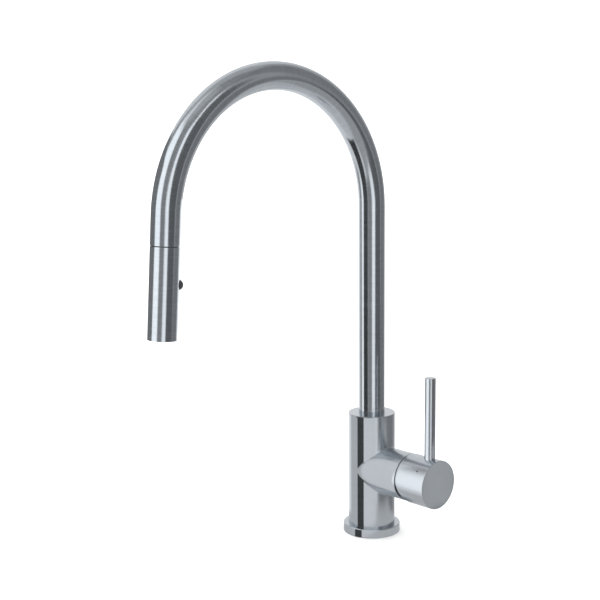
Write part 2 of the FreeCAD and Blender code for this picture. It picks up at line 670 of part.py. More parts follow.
def handle_cap():
    """Cap of the handle: a cup over the dome, relieved below so that it can tilt."""
    edge = CAP_EDGE
    bore = DOME_R + MOVE_GAP
    floor = PIVOT_X + DOME_R
    outline = [(bore, CAP_START), (CAP_R - edge / 2, CAP_START), (CAP_R, CAP_START + edge / 2),
               (CAP_R, CAP_END - edge), (CAP_R - edge, CAP_END), (0, CAP_END), (0, floor), (bore, floor)]
    cup = turned(outline, BRANCH)
    relief = Part.makeBox(CAP_D, 2 * CAP_D, CAP_D * 2, V(CAP_START - CAP_D, -CAP_D, BRANCH_Z - 2 * CAP_D))
    relief.rotate(V(CAP_START, 0, BRANCH_Z), V(0, 1, 0), -CAP_RELIEF_ANGLE)
    above = Part.makeBox(2 * CAP_D, 2 * CAP_D, CAP_D, V(CAP_START - CAP_D, -CAP_D, BRANCH_Z))
    relief = relief.cut(above)
    side = STEM_SQUARE + 2 * SEAT_FIT
    socket_end = STEM_END_X + MOVE_GAP
    socket = block((socket_end - floor + 1, side, side), ((socket_end + floor - 1) / 2, 0, BRANCH_Z))
    lever_hole = rod(LEVER_SPIGOT_D / 2 + SEAT_FIT, *round_end(LEVER_X, 0, STEM_SQUARE / 2, CAP_R + 1))
    lever_seat = rod(LEVER_D / 2 + SEAT_FIT, *round_end(LEVER_X, 0, CAP_R - LEVER_SEAT, CAP_R + 1))
    screw_hole = rod(CLAMP_SCREW_D / 2 + SEAT_FIT, *round_end(LEVER_X, 180, STEM_SQUARE / 2, CAP_R + 1))
    index_hole = rod(INDEX_D / 2, *round_end(LEVER_X, INDEX_ANGLE, CAP_R - 2.0, CAP_R + 1))
    return cup.cut([relief, socket, lever_hole, lever_seat, screw_hole, index_hole])


def handle_lever():
    """Straight lever rod, screwed into the cap by its spigot."""
    edge = 0.5
    seat = CAP_R - LEVER_SEAT
    foot = STEM_SQUARE / 2 + 2.0
    outline = [(0, foot), (LEVER_SPIGOT_D / 2, foot), (LEVER_SPIGOT_D / 2, seat), (LEVER_D / 2, seat),
               (LEVER_D / 2, LEVER_TOP - edge), (LEVER_D / 2 - edge, LEVER_TOP), (0, LEVER_TOP)]
    return turned(outline, FreeCAD.Placement(V(LEVER_X, 0, BRANCH_Z), FreeCAD.Rotation()))


def handle_clamp_screw():
    """Screw in the cap's underside that grips the stem."""
    tip, head = round_end(LEVER_X, 180, STEM_SQUARE / 2 + SEAT_FIT, CAP_R - 5.0)
    screw = rod(CLAMP_SCREW_D / 2, tip, head)
    return screw.cut(block((2.0, 2.0, 4.0), head))


def index_plug():
    """Small dark mark in the cap, towards the user."""
    return rod(INDEX_D / 2 - SEAT_FIT, *round_end(LEVER_X, INDEX_ANGLE, CAP_R - 1.9, CAP_R - 0.1))


def hose_tail():
    """Last stretch of the spray hose, in the dock bush."""
    return disc(HOSE_R, -TAIL_BELOW, TAIL_ABOVE, HEAD)


def hose_ferrule():
    """Sleeve crimped round the hose's end."""
    return ring(HOSE_R, FERRULE_R, -TAIL_BELOW, FERRULE_TOP, HEAD)


def hose_cone():
    """Brass end of the hose: a collar on which the coupling nut turns, and a bore for the water."""
    low = -TAIL_BELOW - CONE_BELOW
    collar = HOSE_R + CONE_COLLAR
    neck = HOSE_R - CONE_COLLAR
    outline = [(WATERWAY_R, low), (collar, low), (collar, low + 2.5), (neck, low + 2.5),
               (neck, -TAIL_BELOW - 2.5), (HOSE_R + 1.2, -TAIL_BELOW), (WATERWAY_R, -TAIL_BELOW)]
    return turned(outline, HEAD)


def cone_end():
    """Height of the hose cone's lower face."""
    return -TAIL_BELOW - CONE_BELOW


def coupling_nut():
    """Nut of the head that holds the hose's collar and lets it turn."""
    lip = cone_end() + 2.5 + RUN_FIT
    low = cone_end() - WASHER_THICK
    collar = HOSE_R + CONE_COLLAR + RUN_FIT
    neck = HOSE_R - CONE_COLLAR + RUN_FIT
    top = -TAIL_BELOW - 3.0
    outline = [(collar, low), (COUPLING_R, low), (COUPLING_R, top), (neck, top), (neck, lip), (collar, lip)]
    return turned(outline, HEAD)


def head_washer():
    """Rubber washer under the hose's collar."""
    low = cone_end() - WASHER_THICK
    return ring(WATERWAY_R, HOSE_R + CONE_COLLAR, low, cone_end() - SEAT_FIT, HEAD)


def head_nose():
    """Plastic nose on the head, which docks in the spout's end."""
    bore = FERRULE_R + MOVE_GAP
    outline = [(bore, -COLLAR_DEPTH), (CORE_R, -COLLAR_DEPTH), (CORE_R, -SEAM_LINE), (NOSE_R, -SEAM_LINE),
               (NOSE_R, NOSE_STRAIGHT), (NOSE_TIP_R, NOSE_LENGTH), (bore, NOSE_LENGTH)]
    return turned(outline, HEAD)


def button_line(inner, outer):
    """Two points across the head on the button's axis, at the given distances from the head's axis."""
    turn = math.radians(BUTTON_TURN)
    across = V(math.sin(turn), math.cos(turn), 0)
    low = V(0, 0, -BUTTON_DOWN)
    return HEAD.multVec(low + across * inner), HEAD.multVec(low + across * outer)


def head_shell():
    """Metal sleeve of the spray head, open at both ends."""
    edge = HEAD_EDGE
    bore = TUBE_R - HEAD_WALL
    outline = [(bore, -HEAD_LENGTH), (TUBE_R - edge, -HEAD_LENGTH), (TUBE_R, edge - HEAD_LENGTH),
               (TUBE_R, -edge - SEAM_LINE), (TUBE_R - edge, -SEAM_LINE), (bore, -SEAM_LINE)]
    sleeve = turned(outline, HEAD)
    return sleeve.cut(rod(BUTTON_D / 2 + MOVE_GAP, *button_line(0, TUBE_D)))


def head_core():
    """Plastic core of the head: hose socket, check valve pocket, spool bore and outlet chamber."""
    top = -COLLAR_DEPTH - SEAT_FIT
    seat = cone_end() - WASHER_THICK
    valve_floor = seat - CHECK_VALVE_LENGTH
    core = disc(CORE_R, -CORE_END, top, HEAD)
    socket = disc(COUPLING_R + RUN_FIT, seat, top + 1, HEAD)
    valve_pocket = disc(CHECK_VALVE_R + SEAT_FIT, valve_floor, seat + 1, HEAD)
    waterway = disc(WATERWAY_R - 0.2, -CORE_END - 1, valve_floor + 1, HEAD)
    chamber = disc(CORE_R - CORE_WALL, -CORE_END - 1, CHAMBER_DEPTH - CORE_END, HEAD)
    spool_bore = rod(SPOOL_R + SPOOL_SEAL_PROUD + RUN_FIT, *button_line(spring_foot(), TUBE_D))
    button_floor = TUBE_R - BUTTON_DEPTH - BUTTON_TRAVEL - MOVE_GAP
    button_bore = rod(BUTTON_D / 2 + MOVE_GAP, *button_line(button_floor, TUBE_D))
    return core.cut([socket, valve_pocket, waterway, chamber, spool_bore, button_bore])


def spring_foot():
    """Place of the spool bore's end, across the head from the button."""
    return -CORE_R + CORE_WALL


def valve_seat_z():
    """Height of the poppet's seat in the check valve."""
    return cone_end() - WASHER_THICK - 2.5


def check_valve_body():
    """Small cage in the core, with the seat that the poppet closes."""
    top = cone_end() - WASHER_THICK - SEAT_FIT
    low = top - CHECK_VALVE_LENGTH + 2 * SEAT_FIT
    cage = CHECK_VALVE_R - 1.0
    outline = [(WATERWAY_R, top), (CHECK_VALVE_R, top), (CHECK_VALVE_R, low), (3.0, low), (3.0, low + 1.2),
               (cage, low + 1.2), (cage, valve_seat_z()), (WATERWAY_R, valve_seat_z())]
    return turned(outline, HEAD)


def check_valve_poppet():
    """Poppet that the spring holds on its seat."""
    top = valve_seat_z() - SEAT_FIT
    outline = [(0, top), (4.0, top), (4.0, top - 1.5), (1.3, top - 1.5), (1.3, top - 4.4), (0, top - 4.4)]
    return turned(outline, HEAD)


def check_valve_spring():
    """Slotted sleeve spring under the poppet."""
    low = cone_end() - WASHER_THICK - CHECK_VALVE_LENGTH + 1.4
    return slotted_spring(3.6, 0.6, low, valve_seat_z() - 1.7, 4, HEAD)


def spray_button():
    """Push button on the head's inner side, with a domed face."""
    half = BUTTON_D / 2
    dome_r = (half * half + BUTTON_DOME * BUTTON_DOME) / (2 * BUTTON_DOME)
    centre, _ = button_line(TUBE_R + BUTTON_PROUD - dome_r, TUBE_R)
    barrel = rod(half, *button_line(TUBE_R - BUTTON_DEPTH, TUBE_R + BUTTON_PROUD))
    ball = Part.makeSphere(dome_r, centre)
    shank = rod(half, *button_line(TUBE_R - BUTTON_DEPTH, TUBE_R + BUTTON_PROUD - BUTTON_DOME))
    return barrel.common(ball).fuse(shank).removeSplitter()


def diverter_spool():
    """Spool across the head, pushed by the button, with two seal grooves."""
    spool = rod(SPOOL_R, *button_line(spring_foot() + SPRING_ROOM, TUBE_R - BUTTON_DEPTH))
    grooves = []
    for place in SPOOL_SEAL_PLACES:
        band = rod(SPOOL_R + 1, *button_line(place, place + 1.4))
        grooves.append(band.cut(rod(SPOOL_R - 0.7, *button_line(place - 1, place + 3))))
    return spool.cut(grooves)


def spool_seals():
    """Rubber rings in the spool's grooves."""
    seals = []
    for place in SPOOL_SEAL_PLACES:
        seal = rod(SPOOL_R + SPOOL_SEAL_PROUD, *button_line(place + 0.1, place + 1.3))
        seals.append(seal.cut(rod(SPOOL_R - 0.65, *button_line(place - 1, place + 3))))
    return Part.makeCompound(seals)


def diverter_spring():
    """Coil spring behind the spool, which brings the button back."""
    foot, end = button_line(spring_foot() + RUN_FIT, TUBE_R)
    frame = FreeCAD.Placement(foot, FreeCAD.Rotation(V(0, 0, 1), end - foot))
    return helix(1.8, 0.25, 0, SPRING_ROOM - 2 * RUN_FIT, 3, frame)


def nozzle_holes(radius, low, high):
    """Small cylinders at the nozzles' places."""
    return [disc(radius, low, high, HEAD, x, y) for x, y in spaced(NOZZLE_COUNT, NOZZLE_PITCH_R)]


def nozzle_plate():
    """Plate at the core's foot that feeds the nozzles and holds the aerator."""
    low = -CORE_END - NOZZLE_PLATE_THICK
    plate = ring(AERATOR_R + RUN_FIT, CORE_R, low, -CORE_END - SEAT_FIT, HEAD)
    return plate.cut(nozzle_holes(NOZZLE_R, low - 1, -CORE_END + 1))


def outlet_ring():
    """Ring in the head's mouth, with a hole for each nozzle."""
    low = -HEAD_LENGTH + HEAD_BOTTOM_RECESS
    face = ring(AERATOR_R + RUN_FIT, CORE_R, low, low + OUTLET_RING_H, HEAD)
    return face.cut(nozzle_holes(NOZZLE_R + 0.25, low - 1, low + OUTLET_RING_H + 1))


def nozzle_tips():
    """Soft tubes from the plate through the outlet ring."""
    low = -HEAD_LENGTH + HEAD_BOTTOM_RECESS - 0.7
    high = -CORE_END - NOZZLE_PLATE_THICK - SEAT_FIT
    tips = []
    for outer, inner in zip(nozzle_holes(NOZZLE_R + 0.2, low, high), nozzle_holes(0.45, low - 1, high + 1)):
        tips.append(outer.cut(inner))
    return Part.makeCompound(tips)


def aerator_housing():
    """Cup of the aerator in the middle of the outlet."""
    low = -HEAD_LENGTH + HEAD_BOTTOM_RECESS - 0.2
    return ring(AERATOR_R - AERATOR_WALL, AERATOR_R, low, -CORE_END - 0.5, HEAD)


def aerator_mesh():
    """Perforated disc in the aerator."""
    low = -HEAD_LENGTH + HEAD_BOTTOM_RECESS + 1.0
    rim = AERATOR_R - AERATOR_WALL - SEAT_FIT
    wafer = disc(rim, low, low + 0.8, HEAD)
    holes = [disc(0.5, low - 1, low + 2, HEAD, x, y) for count, share in ((6, 0.32), (12, 0.66))
             for x, y in spaced(count, rim * share)]
    return wafer.cut(holes)


def rubber_washer():
    """Soft washer against the deck's underside."""
    return clamp_washer(-DECK_ROOM - RUBBER_THICK, -DECK_ROOM)


def steel_washer():
    """Hard washer that the jack screws press on."""
    return clamp_washer(-DECK_ROOM - RUBBER_THICK - STEEL_THICK, -DECK_ROOM - RUBBER_THICK)


def glide_ring_lower():
    """Lower ring on the spout's nipple."""
    return nipple_groove_ring(SOCKET_FLOOR + GLIDE_LOW)


def glide_ring_upper():
    """Upper ring on the spout's nipple."""
    return nipple_groove_ring(SOCKET_FLOOR + GLIDE_HIGH)


PIECES = [
    base_flange, flange_seal, valve_body, threaded_shank, rubber_washer, steel_washer, shank_nut,
    jack_screws, stop_screw, top_glide_ring, glide_ring_lower, glide_ring_upper, spout_tube,
    spout_nipple, dock_bush, hose_foot, spray_hose_lower, spray_hose_upper, cartridge_base,
    cartridge_seals, cartridge_housing, ceramic_disc_fixed, ceramic_disc_moving, disc_carrier,
    cartridge_rotor, stem_pivot_pin, cartridge_stem, cartridge_nut, dome_ring, handle_cap,
    handle_lever, handle_clamp_screw, index_plug, hose_tail, hose_ferrule, hose_cone, coupling_nut,
    head_washer, head_nose, head_shell, head_core, check_valve_body, check_valve_poppet,
    check_valve_spring, spray_button, diverter_spool, spool_seals, diverter_spring, nozzle_plate,
    nozzle_tips, outlet_ring, aerator_housing, aerator_mesh,
]


def main():
    """Build every piece and write one STEP file for each."""
    os.makedirs("parts", exist_ok=True)
    for piece in PIECES:
        shape = piece()
        if not shape.isValid() or shape.Volume <= 0 or not shape.Solids:
            raise ValueError(piece.__name__ + " is not a sound solid")
        shape.exportStep("parts/" + piece.__name__ + ".step")
        print(piece.__name__, len(shape.Solids), round(shape.Volume, 1))


main()
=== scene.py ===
"""Looks of a pull-down kitchen faucet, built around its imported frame.

Lengths in the classes are millimetres in the object's own frame (+Z up, the spout towards -Y and the
handle towards +X). They become metres where a mesh is made.
"""

import json
import logging
import math
from collections.abc import Sequence
from dataclasses import dataclass, field
from enum import Enum
from typing import Protocol

import bmesh
import bpy
import numpy as np
from mathutils import Euler, Matrix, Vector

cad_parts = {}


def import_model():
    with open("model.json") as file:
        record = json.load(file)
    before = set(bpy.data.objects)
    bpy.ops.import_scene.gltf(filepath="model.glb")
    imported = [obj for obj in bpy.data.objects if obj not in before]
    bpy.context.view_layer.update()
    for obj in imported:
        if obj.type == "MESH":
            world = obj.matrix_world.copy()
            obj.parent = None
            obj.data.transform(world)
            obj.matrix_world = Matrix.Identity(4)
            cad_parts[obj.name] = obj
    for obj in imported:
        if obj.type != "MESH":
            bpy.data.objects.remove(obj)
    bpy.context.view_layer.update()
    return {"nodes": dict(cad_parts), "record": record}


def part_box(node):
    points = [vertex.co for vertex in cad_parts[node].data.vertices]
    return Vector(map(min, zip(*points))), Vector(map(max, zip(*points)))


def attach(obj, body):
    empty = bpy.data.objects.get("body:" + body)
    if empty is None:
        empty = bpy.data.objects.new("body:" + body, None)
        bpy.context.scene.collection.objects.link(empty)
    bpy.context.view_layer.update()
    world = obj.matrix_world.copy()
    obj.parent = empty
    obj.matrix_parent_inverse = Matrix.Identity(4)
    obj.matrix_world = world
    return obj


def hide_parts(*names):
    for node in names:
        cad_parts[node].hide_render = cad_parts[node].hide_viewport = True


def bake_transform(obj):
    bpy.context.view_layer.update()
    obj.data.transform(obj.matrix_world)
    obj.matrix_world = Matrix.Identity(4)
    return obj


MM = 0.001
MERGE_GAP = 0.002
TINY = 1e-9
FLAT_ANGLE = 1e-4
STREAK_SHARE = 0.22
SHARP_EDGE = math.radians(32)
LOG = logging.getLogger("faucet")

Vec = tuple[float, float, float]
X_AXIS = np.array((1.0, 0.0, 0.0))
Y_AXIS = np.array((0.0, 1.0, 0.0))
Z_AXIS = np.array((0.0, 0.0, 1.0))


class Body(Enum):
    """Bodies of the frame that new pieces ride on."""

    BASE = "base"
    CLAMP = "deck_clamp"
    SPOUT = "spout"
    HOSE_END = "hose_end"
    HEAD = "spray_head"
    DIVERTER = "diverter"
    POPPET = "check_poppet"
    LEVER = "lever"


class Slot(Enum):
    """Material slots of the record."""

    STEEL = "brushed_steel"
    BRASS = "brass"
    PLAIN_STEEL = "steel"
    RUBBER = "rubber"
    WHITE = "white_plastic"
    DARK = "dark_plastic"
    CERAMIC = "ceramic"
    BRAID = "hose_braid"


# ---------------------------------------------------------------- shapes


def box_mm(node: str) -> tuple[np.ndarray, np.ndarray]:
    """Give a frame node's box.

    Args:
        node: The node's name.

    Returns:
        Its lowest and highest corners, in millimetres.
    """
    low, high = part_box(node)
    return np.array(low) / MM, np.array(high) / MM


def rounded(corners: Sequence[tuple[float, float, float]], steps: int = 5) -> np.ndarray:
    """Round the corners of an open profile.

    A corner of radius q is swapped for an arc that touches both its sides at q / tan(half its
    angle), with one more point a little before and after, which keeps the sides' shading flat.

    Args:
        corners: (radius from the axis, place along it, corner's radius) for each corner.
        steps: Spans in each arc.

    Returns:
        The profile's points, one row each.
    """
    points = np.array([corner[:2] for corner in corners], dtype=float)
    parts = [points[:1]]
    for before, here, after, corner in zip(points[:-2], points[1:-1], points[2:], corners[1:-1]):
        radius = corner[2]
        if radius <= 0:
            parts.append(here[None])
            continue
        to_before = (before - here) / np.linalg.norm(before - here)
        to_after = (after - here) / np.linalg.norm(after - here)
        half = math.acos(float(np.clip(to_before @ to_after, -1, 1))) / 2
        reach = radius / math.tan(half)
        middle = to_before + to_after
        centre = here + middle / np.linalg.norm(middle) * radius / math.sin(half)
        first, last = here + to_before * reach - centre, here + to_after * reach - centre
        turn = math.pi - 2 * half
        share = np.linspace(0, 1, steps + 1)[:, None]
        arc = centre + (np.sin((1 - share) * turn) * first + np.sin(share * turn) * last) / math.sin(turn)
        lead = 0.35 * radius
        parts += [arc[:1] + to_before * lead, arc, arc[-1:] + to_after * lead]
    parts.append(points[-1:])
    return np.concatenate(parts)


class Path(Protocol):
    """A line that a profile is carried along."""

    def frame(self, along: np.ndarray) -> tuple[np.ndarray, np.ndarray, np.ndarray]:
        """Give the centres and the two cross directions at distances along the line."""


@dataclass(frozen=True)
class Axis:
    """A straight path: a start, and two cross directions whose product is the way forward."""

    start: Vec | np.ndarray
    first: np.ndarray
    second: np.ndarray

    def frame(self, along: np.ndarray) -> tuple[np.ndarray, np.ndarray, np.ndarray]:
        """Give centre = start + along * forward, with the same cross directions everywhere."""
        forward = np.cross(self.first, self.second)
        centre = np.array(self.start) + along[..., None] * forward
        return centre, np.broadcast_to(self.first, centre.shape), np.broadcast_to(self.second, centre.shape)


@dataclass(frozen=True)
class ArchLine:
    """The spout's line: up the riser, round the arch and straight down its end."""

    spring: float
    radius: float
    sweep: float

    def frame(self, along: np.ndarray) -> tuple[np.ndarray, np.ndarray, np.ndarray]:
        """Give centres and cross directions at heights or distances from the deck.

        Up to the arch's spring the centre is (0, 0, along). On the arch it turns by an angle
        a = (along - spring) / radius, to (0, -R + R cos a, spring + R sin a), and past the sweep it
        goes straight on. The cross directions are X and the outward normal (0, cos a, sin a).

        Args:
            along: Distance along the line from the deck.

        Returns:
            Centres, first and second cross directions.
        """
        turn = np.clip((along - self.spring) / self.radius, 0, self.sweep)
        rest = np.minimum(along - self.spring, 0) + np.maximum(
            along - self.spring - self.sweep * self.radius, 0
        )
        zero = np.zeros_like(turn)
        outward = np.stack((zero, np.cos(turn), np.sin(turn)), axis=-1)
        forward = np.stack((zero, -np.sin(turn), np.cos(turn)), axis=-1)
        centre = np.array((0, -self.radius, self.spring)) + self.radius * outward + rest[..., None] * forward
        return centre, np.broadcast_to(X_AXIS, centre.shape), outward


@dataclass
class Patch:
    """A grid of points with its UV map, and which of its cells are kept."""

    points: np.ndarray
    uv: np.ndarray
    keep: np.ndarray | None = None


def full_turn(columns: int) -> np.ndarray:
    """Give the angles of a closed ring, with its first angle again at its end."""
    return np.linspace(-math.pi / 2, 3 * math.pi / 2, columns + 1)


def carried(profile: np.ndarray, path: Path, angles: np.ndarray) -> Patch:
    """Carry a round profile along a path.

    A point is centre(along) + radius * (cos(angle) * first + sin(angle) * second). U is the part of
    a turn and V the length along the profile, in metres.

    Args:
        profile: (radius, along) rows, or an array with one (radius, along) for each row and angle.
        path: The line it is carried along.
        angles: Angles of the columns.

    Returns:
        The grid.
    """
    if profile.ndim == 2:
        profile = np.broadcast_to(profile[:, None, :], (len(profile), len(angles), 2))
    radius, along = profile[..., 0], profile[..., 1]
    centre, first, second = path.frame(along)
    round_part = np.cos(angles)[None, :, None] * first + np.sin(angles)[None, :, None] * second
    points = centre + radius[..., None] * round_part
    steps = np.hypot(np.diff(radius, axis=0), np.diff(along, axis=0))
    length = np.concatenate((np.zeros((1, len(angles))), np.cumsum(steps, axis=0))) * MM
    around = np.broadcast_to((angles - angles[0]) / (2 * math.pi), length.shape)
    return Patch(points, np.stack((around, length), axis=-1))


def joined(name: str, patches: Sequence[Patch]) -> bpy.types.Object:
    """Weld patches into one closed mesh with outward faces.

    Args:
        name: The piece's name.
        patches: Grids whose borders meet.

    Returns:
        The piece's object.
    """
    points, uvs, quads, count = [], [], [], 0
    for patch in patches:
        rows, columns = patch.points.shape[:2]
        index = np.arange(rows * columns).reshape(rows, columns) + count
        cells = np.stack((index[:-1, :-1], index[:-1, 1:], index[1:, 1:], index[1:, :-1]), axis=-1)
        quads.append(cells.reshape(-1, 4) if patch.keep is None else cells[patch.keep])
        points.append(patch.points.reshape(-1, 3) * MM)
        uvs.append(patch.uv.reshape(-1, 2))
        count += rows * columns
    corners = np.concatenate(quads)
    mesh = bpy.data.meshes.new(name)
    mesh.from_pydata(np.concatenate(points), [], corners)
    layer = mesh.uv_layers.new(name="UVMap")
    layer.data.foreach_set("uv", np.concatenate(uvs)[corners.ravel()].ravel())
    welded = bmesh.new()
    welded.from_mesh(mesh)
    bmesh.ops.remove_doubles(welded, verts=welded.verts, dist=MERGE_GAP * MM)
    bmesh.ops.recalc_face_normals(welded, faces=welded.faces)
    open_edges = sum(1 for edge in welded.edges if len(edge.link_faces) != 2)
    welded.to_mesh(mesh)
    welded.free()
    mesh.shade_smooth()
    mesh.set_sharp_from_angle(angle=SHARP_EDGE)
    piece = bpy.data.objects.new(name, mesh)
    bpy.context.scene.collection.objects.link(piece)
    LOG.info("%s: %d faces, %d open edges", name, len(mesh.polygons), open_edges)
    return piece


def holed_wall(
    path: Path, radius: float, along: np.ndarray, angles: np.ndarray, hole: tuple[float, float], cells: int
) -> tuple[Patch, np.ndarray]:
    """Make a round wall with one round hole in it, at the middle of its block of even cells.

    A block of cells by cells is left out of the wall's grid. Its border points B, as (sideways,
    along), and the points C of the hole's rim in the same directions from the middle are joined by
    C + t (B - C), and a sideways distance s goes back to the angle asin(s / radius).

    Args:
        path: The wall's axis.
        radius: The wall's radius.
        along: Places of the rows; the block's rows are the cells + 1 ones nearest to the hole.
        angles: Angles of the columns.
        hole: The hole's angle, and its place along the axis.
        cells: Cells along each side of the block, an even number.

    Returns:
        The wall, and the points of the block's border round the hole's middle.
    """
    wall = carried(np.stack((np.full_like(along, radius), along), axis=-1), path, angles)
    row = int(np.argmin(np.abs(along - hole[1]))) - cells // 2
    column = int(np.argmin(np.abs(angles - hole[0]))) - cells // 2
    keep = np.ones((len(along) - 1, len(angles) - 1), dtype=bool)
    keep[row : row + cells, column : column + cells] = False
    wall.keep = keep
    side = np.arange(cells)
    rows = np.concatenate((side * 0, side, side * 0 + cells, cells - side, [0])) + row
    columns = np.concatenate((side, side * 0 + cells, cells - side, side * 0, [0])) + column
    sideways = radius * np.sin(angles[columns] - hole[0])
    border = np.stack((sideways, along[rows] - hole[1]), axis=-1)
    return wall, border


def hole_rim(
    path: Path, radius: float, hole: tuple[float, float], size: float, border: np.ndarray, steps: int = 5
) -> Patch:
    """Make the ring of cells between a hole's rim and its block's border.

    Args:
        path: The wall's axis.
        radius: The wall's radius.
        hole: The hole's angle, and its place along the axis.
        size: The hole's radius.
        border: Border points from holed_wall.
        steps: Rows of cells.

    Returns:
        The ring's grid, its first row on the hole's rim.
    """
    rim = border / np.linalg.norm(border, axis=-1, keepdims=True) * size
    share = np.linspace(0, 1, steps + 1)[:, None, None]
    flat = rim + share * (border - rim)
    angle = hole[0] + np.arcsin(flat[..., 0] / radius)
    along = hole[1] + flat[..., 1]
    centre, first, second = path.frame(along)
    points = centre + radius * (np.cos(angle)[..., None] * first + np.sin(angle)[..., None] * second)
    return Patch(points, np.stack((angle / (2 * math.pi), along * MM), axis=-1))


def between(first: np.ndarray, last: np.ndarray, rows: int) -> np.ndarray:
    """Lay rows of points evenly between two edges, first + share * (last - first)."""
    share = np.linspace(0, 1, rows + 1)[:, None, None]
    return first[None] + share * (last - first)[None]


# ---------------------------------------------------------------- shader tools


class Shade:
    """A number that varies over a surface: Python maths on it adds Math nodes."""

    def __init__(self, net: "Net", socket: bpy.types.NodeSocket) -> None:
        """Hold a socket and the node tree it is in."""
        self.net = net
        self.socket = socket

    def maths(self, operation: str, *values: "Shade | float") -> "Shade":
        """Add one Math node.

        Args:
            operation: The Math node's operation.
            values: Its inputs, in order.

        Returns:
            Its result.
        """
        made = self.net.node("ShaderNodeMath", {"operation": operation}, dict(enumerate(values)))
        return Shade(self.net, made.outputs[0])

    def __add__(self, other: "Shade | float") -> "Shade":
        """Add."""
        return self.maths("ADD", self, other)

    def __radd__(self, other: float) -> "Shade":
        """Add, from the right."""
        return self.maths("ADD", other, self)

    def __sub__(self, other: "Shade | float") -> "Shade":
        """Subtract."""
        return self.maths("SUBTRACT", self, other)

    def __rsub__(self, other: float) -> "Shade":
        """Subtract this from a number."""
        return self.maths("SUBTRACT", other, self)

    def __mul__(self, other: "Shade | float") -> "Shade":
        """Multiply."""
        return self.maths("MULTIPLY", self, other)

    def __rmul__(self, other: float) -> "Shade":
        """Multiply, from the right."""
        return self.maths("MULTIPLY", other, self)

    def sine(self) -> "Shade":
        """Give the sine."""
        return self.maths("SINE", self)

    def size(self) -> "Shade":
        """Give the size without its sign."""
        return self.maths("ABSOLUTE", self)

    def step(self, low: float, high: float) -> "Shade":
        """Rise smoothly from one value to another.

        Args:
            low: The value below which it gives 0.
            high: The value above which it gives 1.

        Returns:
            The share.
        """
        made = self.net.node(
            "ShaderNodeMapRange",
            {"interpolation_type": "SMOOTHSTEP"},
            {"Value": self, "From Min": low, "From Max": high, "To Min": 0.0, "To Max": 1.0},
        )
        return Shade(self.net, made.outputs["Result"])


class Net:
    """A node tree that is being filled."""

    def __init__(self, tree: bpy.types.NodeTree) -> None:
        """Empty the tree."""
        self.tree = tree
        tree.nodes.clear()

    def node(self, kind: str, settings: dict | None = None, values: dict | None = None) -> bpy.types.Node:
        """Add a node.

        Args:
            kind: The node's type.
            settings: Its settings, set first.
            values: Values or links of its input sockets, by name or number.

        Returns:
            The node.
        """
        made = self.tree.nodes.new(kind)
        for name, value in (settings or {}).items():
            setattr(made, name, value)
        for name, value in (values or {}).items():
            socket = made.inputs[name]
            if isinstance(value, Shade):
                self.tree.links.new(value.socket, socket)
            elif isinstance(value, bpy.types.NodeSocket):
                self.tree.links.new(value, socket)
            elif socket.type == "RGBA" and len(value) == 3:
                socket.default_value = (*value, 1.0)
            else:
                socket.default_value = value
        return made

    def parts(self, vector: bpy.types.NodeSocket) -> tuple[Shade, Shade, Shade]:
        """Split a vector into its three numbers."""
        made = self.node("ShaderNodeSeparateXYZ", values={"Vector": vector})
        return tuple(Shade(self, output) for output in made.outputs)

    def vector(self, x: Shade | float, y: Shade | float, z: Shade | float) -> bpy.types.NodeSocket:
        """Join three numbers into a vector."""
        return self.node("ShaderNodeCombineXYZ", values={0: x, 1: y, 2: z}).outputs[0]

    def coordinates(self, output: str) -> bpy.types.NodeSocket:
        """Give one output of a Texture Coordinate node."""
        return self.node("ShaderNodeTexCoord").outputs[output]

    def noise(self, vector: bpy.types.NodeSocket, scale: float, detail: float = 2.0) -> Shade:
        """Give the value of a noise pattern, from 0 to 1."""
        values = {"Vector": vector, "Scale": scale, "Detail": detail}
        return Shade(self, self.node("ShaderNodeTexNoise", values=values).outputs["Fac"])

    def blended(self, factor: Shade, first: Vec, second: Vec) -> bpy.types.NodeSocket:
        """Mix two colours by a factor."""
        values = {"Factor": factor, 6: first, 7: second}
        return self.node("ShaderNodeMix", {"data_type": "RGBA"}, values).outputs[2]

    def bump(self, height: Shade, depth: float) -> bpy.types.NodeSocket:
        """Turn a height from 0 to 1 into a normal, for a relief of that depth in millimetres."""
        values = {"Height": height, "Strength": 1.0, "Distance": depth * MM}
        return self.node("ShaderNodeBump", values=values).outputs["Normal"]

    def surface(self, **values: object) -> None:
        """Finish a material with a Principled shader; names use _ where its sockets have a space."""
        named = {name.replace("_", " "): value for name, value in values.items()}
        shader = self.node("ShaderNodeBsdfPrincipled", values=named)
        self.node("ShaderNodeOutputMaterial", values={"Surface": shader.outputs[0]})


class Finish(Protocol):
    """A surface finish that can fill a node tree."""

    def fill(self, net: Net) -> None:
        """Add the finish's nodes."""


@dataclass(frozen=True)
class BrushedSteel:
    """Satin steel, ground round the part: fine lines across V, long along the turn."""

    colour: Vec = (0.585, 0.625, 0.668)
    worn: Vec = (0.505, 0.548, 0.594)
    roughness: float = 0.17
    line: float = 0.28
    line_length: float = 14.0
    relief: float = 0.006
    wear: float = 0.10

    def fill(self, net: Net) -> None:
        """Make lines from noise on (x / length, (y + z) / length, V / line width)."""
        x, y, z = net.parts(net.coordinates("Object"))
        _, v, _ = net.parts(net.coordinates("UV"))
        slow = 1 / (self.line_length * MM)
        across = v * (1 / (self.line * MM))
        side = (y + z * 0.8) * slow
        grain = net.noise(net.vector(x * slow, side, across), 1.0, 3.0)
        streak = net.noise(net.vector(x * slow, side, across * STREAK_SHARE), 1.0, 2.0)
        cloud = net.noise(net.coordinates("Object"), 38.0, 3.0)
        tone = streak.step(0.25, 0.75) * 0.65 + cloud.step(0.3, 0.7) * 0.35
        net.surface(
            Base_Color=net.blended(tone, self.worn, self.colour),
            Metallic=1.0,
            Roughness=self.roughness + (streak - 0.5) * self.wear + (cloud - 0.5) * (self.wear / 2),
            Normal=net.bump(grain, self.relief),
        )


